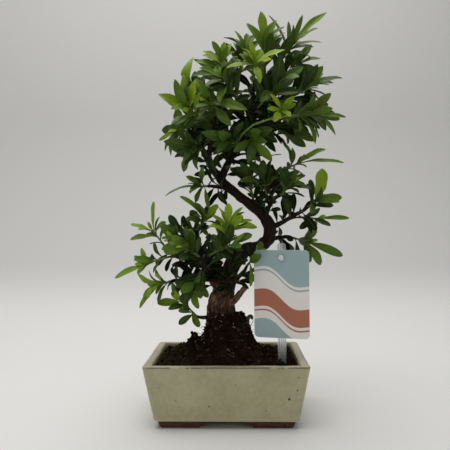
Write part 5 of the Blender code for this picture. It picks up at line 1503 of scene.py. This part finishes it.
def trunk_strands():
    """The old stems that have grown together round the foot of the trunk."""
    chance = random.Random(f"{SEED} strands")
    trunk = smooth_path(TRUNK, 4)
    strands = []
    for k in range(STRANDS):
        turn = 2 * math.pi * k / STRANDS + chance.uniform(-STRAND_WANDER, STRAND_WANDER)
        lean = chance.uniform(-STRAND_LEAN, STRAND_LEAN)
        high = chance.uniform(*STRAND_HEIGHTS)
        path = []
        for row, (place, radius) in enumerate(trunk[2:]):
            share = row / STRAND_ROWS
            if share > high:
                break
            angle = turn + lean * share
            out = Vector((math.cos(angle), math.sin(angle), 0.0))
            size = radius * (0.4 - 0.2 * share)
            path.append((place + out * (radius * (0.92 - 0.1 * share)), size))
        strands.append(path)
    return strands


def melted(name, shapes):
    """Closed shapes melted into one smooth skin."""
    piece = Piece()
    for points, faces in shapes:
        piece.add(points, faces)
    rough = piece.make(name, [])
    step = rough.modifiers.new("Melt", "REMESH")
    step.mode = "VOXEL"
    step.voxel_size = WOOD_VOXEL
    soften = rough.modifiers.new("Soften", "SMOOTH")
    soften.factor = 0.5
    soften.iterations = 3
    mesh = bare_mesh(rough)
    bpy.data.objects.remove(rough, do_unlink=True)
    mesh.shade_smooth()
    return add_object(name, mesh)


def bare_mesh(obj):
    """The mesh that an object's modifiers give."""
    graph = bpy.context.evaluated_depsgraph_get()
    return bpy.data.meshes.new_from_object(obj.evaluated_get(graph))


def course_samples(paths):
    """Points along every stem, each with its radius, the run so far and the way ahead."""
    samples = []
    for row, path in enumerate(paths):
        run = row * COURSE_SHIFT
        for k, (place, radius) in enumerate(path):
            if k:
                run += (place - path[k - 1][0]).length
            ahead = (path[min(k + 1, len(path) - 1)][0] - path[max(k - 1, 0)][0]).normalized()
            samples.append((place, radius, run, ahead))
    return samples


def nearest_course(samples):
    """A search for the stem in whose wood a place lies deepest."""
    tree = KDTree(len(samples))
    for k, sample in enumerate(samples):
        tree.insert(sample[0], k)
    tree.balance()

    def search(place):
        found = min(tree.find_n(place, NEAR_SAMPLES), key=lambda hit: hit[2] - samples[hit[1]][1])
        return samples[found[1]]

    return search


def bark_point(here, place, radius, run, ahead):
    """A point's place in its stem's bark, how thick the stem counts, and how far it stands out."""
    out = here - place
    run += out.dot(ahead)
    seam = ahead.cross(BARK_SEAM).normalized()
    angle = math.atan2(out.dot(seam), out.dot(ahead.cross(seam)))
    east, north = math.cos(angle), math.sin(angle)
    across = BARK_WRAP * (east * radius / (5 * MM) + 0.7 * north) + 7 * run
    # Old bark low down; above it the bark is darker, partly as painted shade under the crown
    low = 1 - blend_in(*OLD_BARK_AND_SHADE_HEIGHTS, here.z)
    thick = max(0.3 * blend_in(3 * MM, 7.5 * MM, radius), low * blend_in(0.9 * MM, 2.4 * MM, radius))
    flake = noise.noise(Vector((run / FLAKE_LENGTH, 1.6 * east, 1.6 * north)))
    flake = blend_in(-0.15, 0.2, flake) - 0.5
    rib = noise.noise(Vector((run / FLUTING_LENGTH, 3.6 * east, 3.6 * north)))
    push = min(0.09 * radius, FLAKE_DEPTH) * (1 + low) * flake
    push += min(0.12 * radius, KNOT_DEPTH) * noise.noise(here / KNOT_LENGTH)
    push += FLUTING_DEPTH * low * rib * blend_in(5 * MM, 9 * MM, radius)
    return (run / PLATE_LENGTH, across, 0.0), thick, push


def cut_marks(places):
    """1 on the sawn face of the stub, and less along its aged length."""
    (before, _), (end, size) = smooth_path(LIMBS["cut_stub"], 1)[-2:]
    heading = np.array((end - before).normalized())
    gap = places - np.array(end + POT_MIDDLE)
    along = gap @ heading
    away = np.linalg.norm(gap - np.outer(along, heading), axis=1)
    sawn = (np.linalg.norm(gap, axis=1) < 1.5 * size) & (along > -0.5 * MM)
    aged = (away < 1.7 * size) & (along > -STUB_LENGTH) & (along < size)
    return np.where(sawn, 1.0, np.where(aged, STUB_AGE, 0.0))


def make_wood(shoots, look):
    """Trunk, limbs and twigs as one skin with flaky bark, laid along each limb's own course."""
    trunk = smooth_path(TRUNK, 6)
    limbs = fine_limbs(shoots)
    strands = trunk_strands() + [smooth_path(points, 3) for points in FOOT_TWIGS]
    shapes = [tube(trunk, FINE_TRUNK_SIDES, TRUNK_FLUTES, stretch=3)]
    shapes += [tube(path, FINE_LIMB_SIDES) for path in limbs + strands]
    wood = melted("wood_fine", shapes)
    course_at = nearest_course(course_samples([trunk] + strands + limbs))
    places = mesh_points(wood)
    normals = np.empty(places.size, np.float32)
    wood.data.vertices.foreach_get("normal", normals)
    bark = []
    for spot in places:
        here = Vector(spot) - POT_MIDDLE
        bark.append(bark_point(here, *course_at(here)))
    course, thick, push = zip(*bark)
    places += normals.reshape(-1, 3) * np.array(push, np.float32)[:, None]
    set_points(wood, places)
    add_paint(wood, "course", course)
    add_paint(wood, "thick", thick)
    add_paint(wood, "cut", cut_marks(places))
    wood.data.materials.clear()
    wood.data.materials.append(look)
    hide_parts("wood")
    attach(wood, "root")


def soil_surface(x, y):
    """The crumbly surface: the solid's heaped form with swells, clods and grains on it."""
    base = soil_height(x, y)
    spot = Vector((x, y, 0.7 * base))
    swells, clods, grains = (noise.noise(spot / pitch) * height for pitch, height in SOIL_FORMS)
    return base + (swells + abs(clods) + grains) * MM


def soil_top(half_x, half_y, across, deep):
    """A grid of points over the soil, which settles along the pot's wall."""
    grid = []
    for j in range(deep + 1):
        for i in range(across + 1):
            x = -half_x + 2 * half_x * i / across
            y = -half_y + 2 * half_y * j / deep
            settle = blend_in(0.0, 8 * MM, min(half_x - abs(x), half_y - abs(y)))
            heap = (soil_surface(x, y) - SOIL_EDGE) * (0.25 + 0.75 * settle)
            grid.append(Vector((x, y, SOIL_EDGE + heap - 0.8 * MM * (1 - settle))))
    return grid


def grid_rim(across, deep):
    """The numbers of a grid's outer points, anticlockwise."""
    row = across + 1
    rim = list(range(row)) + [j * row + across for j in range(1, deep + 1)]
    rim += [deep * row + i for i in range(across - 1, -1, -1)]
    return rim + [j * row for j in range(deep - 1, 0, -1)]


def make_soil(looks):
    """Potting soil with crumbs, chips of bark, moss and fine roots."""
    piece = Piece()
    lean = POT_TAPER * (POT_HEIGHT - SOIL_EDGE) / (POT_HEIGHT - FOOT_HEIGHT)
    half_x, half_y = (size / 2 - lean - LIP_WIDTH - SOIL_CLEARANCE for size in (POT_WIDTH, POT_DEPTH))
    across, deep = round(2 * half_x / SOIL_CELL), round(2 * half_y / SOIL_CELL)
    grid = soil_top(half_x, half_y, across, deep)
    row, base = across + 1, len(grid)
    faces = [(a, a + 1, a + 1 + row, a + row)
             for j in range(deep) for i in range(across) for a in [j * row + i]]
    rim = grid_rim(across, deep)
    low = FOOT_HEIGHT + FLOOR_THICKNESS + GAP
    shrink = POT_TAPER * (SOIL_EDGE - low) / (POT_HEIGHT - FOOT_HEIGHT)
    for p in [grid[index] for index in rim]:
        grid.append(Vector((p.x * (1 - shrink / half_x), p.y * (1 - shrink / half_y), low)))
    for k in range(len(rim)):
        after = (k + 1) % len(rim)
        faces.append((rim[k], base + k, base + after, rim[after]))
    faces.append(tuple(reversed(range(base, base + len(rim)))))
    moss = [moss_share(p) for p in grid]
    steep = push_crumbs(grid, base, row)
    piece.add(steep, turned_out(steep, faces), SOIL_LOOK, moss=moss, kind=0.0)
    scatter_lumps(piece, half_x, half_y)
    scatter_roots(piece)
    soil = piece.make("soil_fine", looks)
    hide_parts("soil")
    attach(soil, "root")


def moss_share(p):
    """Moss grows on the flat soil at the left."""
    if p.z < POT_HEIGHT - 8 * MM:
        return 0.0
    left = blend_in(*MOSS_EDGE, p.x) if p.x < 0 else 0.0
    return 0.9 * left * (1 - blend_in(*MOSS_HEIGHTS, p.z)) + 0.12


def push_crumbs(grid, count, row):
    """Pushes steep soil out along its slope, so that crumbs stand out sideways too."""
    moved = list(grid)
    for k in range(row, count - row):
        if 0 < k % row < row - 1:
            east = grid[k + 1] - grid[k - 1]
            north = grid[k + row] - grid[k - row]
            normal = east.cross(north).normalized()
            crumb = noise.noise(grid[k] / (3.1 * MM)) + 0.6 * noise.noise(grid[k] / (1.5 * MM))
            flat = Vector((normal.x, normal.y, 0.0))
            moved[k] = grid[k] + flat * (CRUMB_PUSH * crumb)
    return moved


def lump_shape():
    """The corners and faces of a ball of twenty triangles, each split in four."""
    mesh = bmesh.new()
    bmesh.ops.create_icosphere(mesh, subdivisions=2, radius=1.0)
    points = [v.co.copy() for v in mesh.verts]
    faces = [tuple(v.index for v in f.verts) for f in mesh.faces]
    mesh.free()
    return points, faces


def random_vector(chance, reach):
    """A vector with each part by chance up to a reach either way."""
    return Vector([chance.uniform(-reach, reach) for _ in range(3)])


def lump_place(chance, half_x, half_y):
    """Where a lump lies: half of them on the mound, the others anywhere."""
    if chance.random() < 0.5:
        reach = chance.uniform(0.35, 1.0) * MOUND_REACH
        turn = chance.uniform(0, 2 * math.pi)
        x = MOUND_CENTRE.x + reach * math.cos(turn) * 1.15
        return x, MOUND_CENTRE.y + reach * math.sin(turn)
    x = chance.uniform(-half_x, half_x) * 0.97
    return x, chance.uniform(-half_y, half_y) * 0.96


def lump_form(chance, chip):
    """A lump's size, its three half widths and how it is turned."""
    size = (0.5 + 1.5 * chance.random() ** 3) * MM
    wide = [size * chance.uniform(*shares) for shares in LUMP_SHARES]
    if chip:
        size = chance.uniform(*CHIP_SIZES) * MM
        wide = [size * share for share in CHIP_SHARES]
    turned = Quaternion([chance.gauss(0, 1) for _ in range(4)]).normalized()
    if chip:
        spin = Quaternion(UP, chance.uniform(0, SOME_TURN))
        turned = spin @ Quaternion((1, 0, 0), chance.uniform(-0.5, 0.5))
    return size, wide, turned


def scatter_lumps(piece, half_x, half_y):
    """Loose crumbs of soil and chips of bark, more of them on the mound."""
    chance = random.Random(f"{SEED} lumps")
    ball, faces = lump_shape()
    for index in range(LUMP_COUNT + CHIP_COUNT):
        chip = index >= LUMP_COUNT
        x, y = lump_place(chance, half_x, half_y)
        if max(abs(x) / half_x, abs(y) / half_y) > 0.98:
            continue
        size, wide, turned = lump_form(chance, chip)
        centre = Vector((x, y, soil_surface(x, y) + 0.25 * size))
        shift = random_vector(chance, 50)
        points = []
        for p in ball:
            rough = 1 + 0.4 * noise.noise(p * 1.7 + shift)
            spot = Vector((p.x * wide[0], p.y * wide[1], p.z * wide[2])) * rough
            points.append(centre + turned @ spot)
        shade = chance.uniform(0.35, 0.8) if chip else 0.78 * chance.random() ** 3
        piece.add(points, faces, SOIL_LOOK, moss=moss_share(centre), kind=shade)


def fine_root(chance):
    """The path of one fine root that leaves the mound and droops."""
    turn = chance.uniform(0, 2 * math.pi)
    reach = chance.uniform(*ROOT_PLACES) * MM
    x, y = MOUND_CENTRE.x + reach * math.cos(turn), MOUND_CENTRE.y + reach * math.sin(turn)
    place = Vector((x, y, soil_surface(x, y) - 0.6 * MM))
    out = Vector((math.cos(turn), math.sin(turn), chance.uniform(0.0, 1.0))).normalized()
    drift = random_vector(chance, 1)
    reach = chance.uniform(*ROOT_LENGTHS) * MM
    bend = place + out * (0.5 * reach) + drift * (0.3 * reach)
    end = place + out * reach * 0.4 + drift * (0.5 * reach) + UP * chance.uniform(-0.4, 0.2) * reach
    end.z = max(end.z, soil_surface(end.x, end.y) - 0.2 * MM)
    radius = chance.uniform(*ROOT_RADII) * MM
    return [(p, radius) for p in bezier(place, bend, end, FINE_STEPS)]


def scatter_roots(piece):
    """Fine roots that stand out of the mound, and the curled one at its right."""
    chance = random.Random(f"{SEED} roots")
    for _ in range(ROOT_COUNT):
        points, faces = tube(fine_root(chance), ROOT_SIDES)
        piece.add(points, faces, ROOT_LOOK, age=chance.choice(ROOT_AGES))
    points, faces = tube(smooth_path(CURLED_ROOT, 5), FINE_STEM_SIDES)
    points = [p + 0.35 * MM * Vector([noise.noise(p / MM + Vector((k, 0, 0))) for k in (3, 7, 11)])
              for p in points]
    piece.add(points, faces, ROOT_LOOK, age=0.95)


def split_sides(ring, spacing):
    """A ring with points added along its long straight stretches."""
    out = []
    for a, b in zip(ring, ring[1:] + ring[:1]):
        count = max(1, round((b - a).length / spacing))
        out += [a.lerp(b, k / count) for k in range(count)]
    return out


def quarter_turn(steps):
    """The sine and cosine of the angles of a quarter turn."""
    angles = [math.radians(90 * k / steps) for k in range(steps + 1)]
    return [(math.sin(angle), math.cos(angle)) for angle in angles]


def pot_rows():
    """The pot's section as inset and height, from under its wall, over the lip and down inside."""
    low, high = FOOT_HEIGHT + BASE_ROUND, POT_HEIGHT - LIP_ROUND
    inner = LIP_WIDTH - LIP_ROUND
    floor = FOOT_HEIGHT + FLOOR_THICKNESS
    rows = [(BASE_ROUND * (1 - s), FOOT_HEIGHT + BASE_ROUND * (1 - c)) for s, c in quarter_turn(4)]
    rows += [(0.0, low + (high - low) * k / 14) for k in range(1, 14)]
    rows += [(LIP_ROUND * (1 - c), high + LIP_ROUND * s) for s, c in quarter_turn(6)]
    rows += [(LIP_ROUND + (inner - LIP_ROUND) * k / 4, POT_HEIGHT) for k in range(1, 4)]
    rows += [(inner + LIP_ROUND * s, high + LIP_ROUND * c) for s, c in quarter_turn(6)]
    return rows + [(LIP_WIDTH, high + (floor - high) * k / 4) for k in range(1, 5)]


def plain(name, points, faces):
    """A working solid, before it is combined."""
    piece = Piece()
    piece.add(points, turned_out(points, faces))
    return piece.make(name, [], smooth=False)


def combine(obj, others, operation):
    """One exact Boolean with a collection of solids, which are then removed."""
    group = bpy.data.collections.new(obj.name + "_operands")
    bpy.context.scene.collection.children.link(group)
    for other in others:
        group.objects.link(other)
    step = obj.modifiers.new("Combine", "BOOLEAN")
    step.operation = operation
    step.operand_type = "COLLECTION"
    step.collection = group
    step.solver = "EXACT"
    shape = bare_mesh(obj)
    obj.modifiers.clear()
    obj.data = shape
    for other in others:
        bpy.data.objects.remove(other, do_unlink=True)
    bpy.data.collections.remove(group)


def bore(name, low, high, axis, radius):
    """A round bar between two points, to cut a hole with."""
    return plain(name, *loft([disc_ring(end, axis, radius) for end in (low, high)]))


def foot_arch(gap, length, turn):
    """The arched gap between two feet, as a bar that runs right through."""
    heights = [k / 8 for k in range(9)]
    side = [(gap / 2 + FOOT_SLOPE / 2 * math.cos(math.pi * h), h * FOOT_HEIGHT) for h in heights]
    corner = (gap + FOOT_SLOPE) / 2
    profile = side + [(-x, z) for x, z in reversed(side)] + [(-corner, -2 * MM), (corner, -2 * MM)]
    rings = [[Vector((x, y, z)) for x, z in profile] for y in (length / 2, -length / 2)]
    points, faces = loft(rings)
    spin = Matrix.Rotation(turn, 3, "Z")
    return plain("foot_arch", [spin @ p for p in points], faces)


def foot_ring(inset, z):
    """A ring of the pot's foot at a height, moved in by an inset."""
    half_x, half_y = (size / 2 - POT_TAPER - FOOT_INSET - inset for size in (POT_WIDTH, POT_DEPTH))
    return rounded_rectangle(half_x, half_y, POT_CORNER, z)


def pot_body():
    """The pot's form: a lofted wall and lip on arched feet, with drain holes."""
    rings = [split_sides(pot_ring(inset, z), 5 * MM) for inset, z in pot_rows()]
    most = max(len(ring) for ring in rings)
    body = plain("pot_fine", *loft([spread_ring(ring, most) for ring in rings]))
    foot = plain("foot", *loft([foot_ring(FOOT_DRAFT, 0.0), foot_ring(0.0, FOOT_HEIGHT + FOOT_SUNK)]))
    hollow = plain("foot_hollow", *loft([foot_ring(FOOT_WIDTH, z) for z in (-2 * MM, FOOT_HEIGHT)]))
    arches = [foot_arch(FOOT_GAP_FRONT, POT_DEPTH, 0.0), foot_arch(FOOT_GAP_SIDE, POT_WIDTH, math.pi / 2)]
    combine(foot, [hollow] + arches, "DIFFERENCE")
    combine(body, [foot], "UNION")
    top = FOOT_HEIGHT + FLOOR_THICKNESS + 2 * MM
    drains = [bore("drain", Vector((x, 0, 1 * MM)), Vector((x, 0, top)), UP, DRAIN_RADIUS)
              for x in (-DRAIN_SPACING / 2, DRAIN_SPACING / 2)]
    combine(body, drains, "DIFFERENCE")
    return body


def bell(value, middle, width):
    """A bump of height 1 round a middle."""
    return math.exp(-((value - middle) / width) ** 2)


def pot_wear(p):
    """How thin the glaze is at a point, the pale line along its bottom edge, and how the hand moved it."""
    lean = POT_TAPER * (POT_HEIGHT - p.z) / (POT_HEIGHT - FOOT_HEIGHT)
    from_side, from_front = POT_WIDTH / 2 - abs(p.x), POT_DEPTH / 2 - abs(p.y)
    inset = min(from_side - lean, from_front - lean)
    thin, move = 0.0, Vector()
    if p.z > POT_HEIGHT - 6 * MM:
        outer = bell(p.z, POT_HEIGHT - 0.45 * MM, 0.75 * MM) * (inset < 1.5 * MM)
        thin = max(outer, 0.85 * bell(inset, LIP_WIDTH - 0.6 * MM, 0.7 * MM))
    base_line = bell(p.z, FOOT_HEIGHT + 1.1 * MM, 0.8 * MM) * (inset < 2 * MM)
    if p.z > FOOT_HEIGHT and inset < LIP_WIDTH + 1 * MM:
        press = noise.noise(p / (34 * MM)) * 0.45 + noise.noise(p / (11 * MM) + Vector((5, 5, 5))) * 0.12
        out = Vector((p.x, 0, 0)) if from_side < from_front else Vector((0, p.y, 0))
        sag = noise.noise(p / (26 * MM) + Vector((9, 1, 4))) * 0.35
        hold = blend_in(FOOT_HEIGHT, FOOT_HEIGHT + 6 * MM, p.z)
        move = (out.normalized() * press + UP * sag) * (hold * MM)
    return thin, base_line, move


def make_pot(look):
    """The glazed pot with softened edges, a hand-pressed unevenness and arched feet."""
    body = pot_body()
    places = mesh_points(body)
    edge, base, moves = zip(*(pot_wear(Vector(spot) - POT_MIDDLE) for spot in places))
    set_points(body, places + np.array(moves))
    add_paint(body, "edge", edge)
    add_paint(body, "base", base)
    dress(body, look, POT_SHARP)
    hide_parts("pot")
    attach(body, "root")


def spread_ring(ring, count):
    """A ring with the same form and a given number of points."""
    while len(ring) < count:
        gaps = [(ring[(k + 1) % len(ring)] - ring[k]).length for k in range(len(ring))]
        k = gaps.index(max(gaps))
        ring = ring[:k + 1] + [ring[k].lerp(ring[(k + 1) % len(ring)], 0.5)] + ring[k + 1:]
    return ring


def make_card(look):
    """The plant card with softened edges and a printed pattern."""
    half, soft = CARD_THICKNESS / 2, CARD_SOFT
    rings = []
    for y, inset in ((half, soft), (half - soft, 0.0), (-half + soft, 0.0), (-half, soft)):
        outline = rounded_rectangle(CARD_WIDTH / 2 - inset, CARD_HEIGHT / 2 - inset, CARD_CORNER, 0.0)
        rings.append([Vector((p.x, y, p.y)) for p in outline])
    card = plain("card_fine", *loft(rings))
    back, front = (Vector((0, y, HOLE_HEIGHT)) for y in (3 * MM, -3 * MM))
    combine(card, [bore("hole", back, front, TOWARDS_FRONT, CARD_HOLE_RADIUS)], "DIFFERENCE")
    places = mesh_points(card) - np.array(POT_MIDDLE)
    add_paint(card, "print", places[:, (0, 2, 1)] * (1 / MM, 1 / MM, 0.0))
    add_paint(card, "front", np.where(places[:, 1] < -0.5 * half, 1.0, 0.0))
    move_to_tag(card)
    dress(card, look, TAG_SHARP)
    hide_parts("tag_card")
    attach(card, "root")


def move_to_tag(obj):
    """Moves a piece made at the pot's middle to where the plant tag stands."""
    obj.data.transform(Matrix.Translation(POT_MIDDLE) @ tag_frame() @ Matrix.Translation(-POT_MIDDLE))


def stake_profile(scale):
    """The ribbed section of the stake: two edge ribs and two fine ribs on the web."""
    rib, web, wide = STAKE_RIB / 2, STAKE_WEB / 2, STAKE_WIDTH / 2
    tops = ((-1.0, 0.8 * rib), (-0.93, rib), (-0.74, rib), (-0.66, web), (-0.36, web), (-0.3, 1.25 * web),
            (-0.22, 1.25 * web), (-0.16, web))
    front = [(share * wide, y) for share, y in tops]
    front += [(-x, y) for x, y in reversed(front)]
    outline = [(x, -y) for x, y in front] + [(x, y) for x, y in reversed(front)]
    setback = CARD_THICKNESS / 2 + GAP + rib
    return [Vector((x * scale, setback + y, 0.0)) for x, y in outline]


def peg():
    """The round peg that comes through the card's hole and ends in a soft head."""
    back = CARD_THICKNESS / 2 + GAP + STAKE_RIB / 2
    front = -CARD_THICKNESS / 2 - GAP
    rows = [(back, PEG_RADIUS), (front, PEG_RADIUS)]
    rows += [(front - share * PEG_HEAD, PEG_HEAD_RADIUS - less * MM) for share, less in PEG_ROUNDING]
    return plain("peg", *loft([disc_ring(Vector((0, y, HOLE_HEIGHT)), TOWARDS_FRONT, radius)
                               for y, radius in rows]))


def make_stake(look):
    """The clear ribbed stake with its rounded peg."""
    low, high = STAKE_FOOT - CARD_PLACE.z, STAKE_TOP - CARD_PLACE.z
    rows = [(low, 0.3), (low + STAKE_POINT, 1.0)] + [(high - drop * MM, share) for drop, share in STAKE_END]
    stake = plain("stake_fine", *loft([[p + UP * z for p in stake_profile(scale)] for z, scale in rows]))
    combine(stake, [peg()], "UNION")
    move_to_tag(stake)
    dress(stake, look, TAG_SHARP)
    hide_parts("tag_stake")
    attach(stake, "root")


def make_floor():
    """A pale floor that sweeps up to a pale wall behind."""
    profile = [Vector((0, -STAGE_HALF, 0))]
    for k in range(SWEEP_STEPS + 1):
        angle = math.radians(90 * k / SWEEP_STEPS)
        rise = SWEEP_RADIUS * (1 - math.cos(angle))
        profile.append(Vector((0, SWEEP_START + SWEEP_RADIUS * math.sin(angle), rise)))
    profile.append(profile[-1] + UP * STAGE_HALF)
    row = len(profile)
    mesh = bpy.data.meshes.new("floor")
    mesh.from_pydata([(x, p.y, p.z) for x in (-STAGE_HALF, STAGE_HALF) for p in profile], [],
                     [(k, k + row, k + row + 1, k + 1) for k in range(row - 1)])
    mesh.shade_smooth()
    mesh.materials.append(stage_material())
    floor = add_object("floor", mesh)


def make_lights():
    """Soft studio light from above and a pale light from all round."""
    world = bpy.data.worlds.new("studio")
    world.use_nodes = True
    fill = world.node_tree.nodes["Background"]
    fill.inputs["Color"].default_value = (*FILL_COLOUR, 1.0)
    fill.inputs["Strength"].default_value = FILL_STRENGTH
    bpy.context.scene.world = world
    for name, place, size, power, colour in LAMPS:
        lamp = bpy.data.lights.new(name, "AREA")
        lamp.size = size
        lamp.energy = power
        lamp.color = colour
        add_object(name, lamp).location = place


def make_camera():
    """The camera at the photograph's place, fitted to the pot's corners."""
    lens = bpy.data.cameras.new("camera")
    lens.sensor_width = SENSOR_WIDTH
    lens.lens = CAMERA_LENS
    lens.clip_start = CLIP_START
    camera = add_object("camera", lens)
    turns = ((CAMERA_YAW, "Z"), (math.pi / 2 + CAMERA_PITCH, "X"), (CAMERA_ROLL, "Z"))
    place = Matrix.Translation(CAMERA_PLACE + POT_MIDDLE)
    for angle, axis in turns:
        place @= Matrix.Rotation(angle, 4, axis)
    camera.matrix_world = place
    bpy.context.scene.camera = camera
    bpy.context.scene.view_settings.view_transform = "Standard"


def packed_shape(node):
    """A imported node's points and faces, laid out round the middle of the pot."""
    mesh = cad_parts[node].data
    return [v.co - POT_MIDDLE for v in mesh.vertices], [tuple(p.vertices) for p in mesh.polygons]


def grow_all(shoots):
    """Grows every leaf clear of the wood, the pot, the tag and the other leaves."""
    limbs = [smooth_path(points, 1) for points in LIMBS.values()] + [smooth_path(TRUNK, 2)]
    for spray in shoots:
        spray.set_back(limbs)
    obstacles = Obstacles()
    wood_shapes = [tube(smooth_path(TRUNK, 2), TRUNK_SIDES, TRUNK_FLUTES)] + limb_shapes(shoots)
    for shape in wood_shapes + [packed_shape(node) for node in ("pot", "tag_card", "tag_stake", "soil")]:
        obstacles.add("frame", shape)
    for spray in shoots:
        obstacles.add(spray.name, spray.stem_shape())
    grow_leaves(shoots, obstacles)
    grow_extra(shoots, obstacles)
    return grow_spurs(obstacles)


def main():
    make_camera()
    make_floor()
    make_lights()
    shoots = sprays()
    tufts = grow_all(shoots)
    leaf_looks = [leaf_material(), stem_material()]
    for spray in shoots:
        make_spray(spray, leaf_looks)
    make_tufts(tufts, leaf_looks)
    make_wood(shoots, bark_material())
    make_soil([soil_material(), root_material()])
    make_pot(glaze_material())
    make_card(card_material())
    make_stake(clear_material())


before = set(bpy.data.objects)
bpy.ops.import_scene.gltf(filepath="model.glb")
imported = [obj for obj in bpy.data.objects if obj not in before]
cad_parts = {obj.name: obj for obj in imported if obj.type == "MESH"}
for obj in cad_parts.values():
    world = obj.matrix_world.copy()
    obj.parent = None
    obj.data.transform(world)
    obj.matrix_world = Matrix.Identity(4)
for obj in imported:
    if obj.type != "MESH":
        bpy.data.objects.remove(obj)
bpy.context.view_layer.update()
POT_LOW, POT_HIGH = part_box("pot")
POT_MIDDLE = Vector(((POT_LOW.x + POT_HIGH.x) / 2, (POT_LOW.y + POT_HIGH.y) / 2, 0.0))
main()
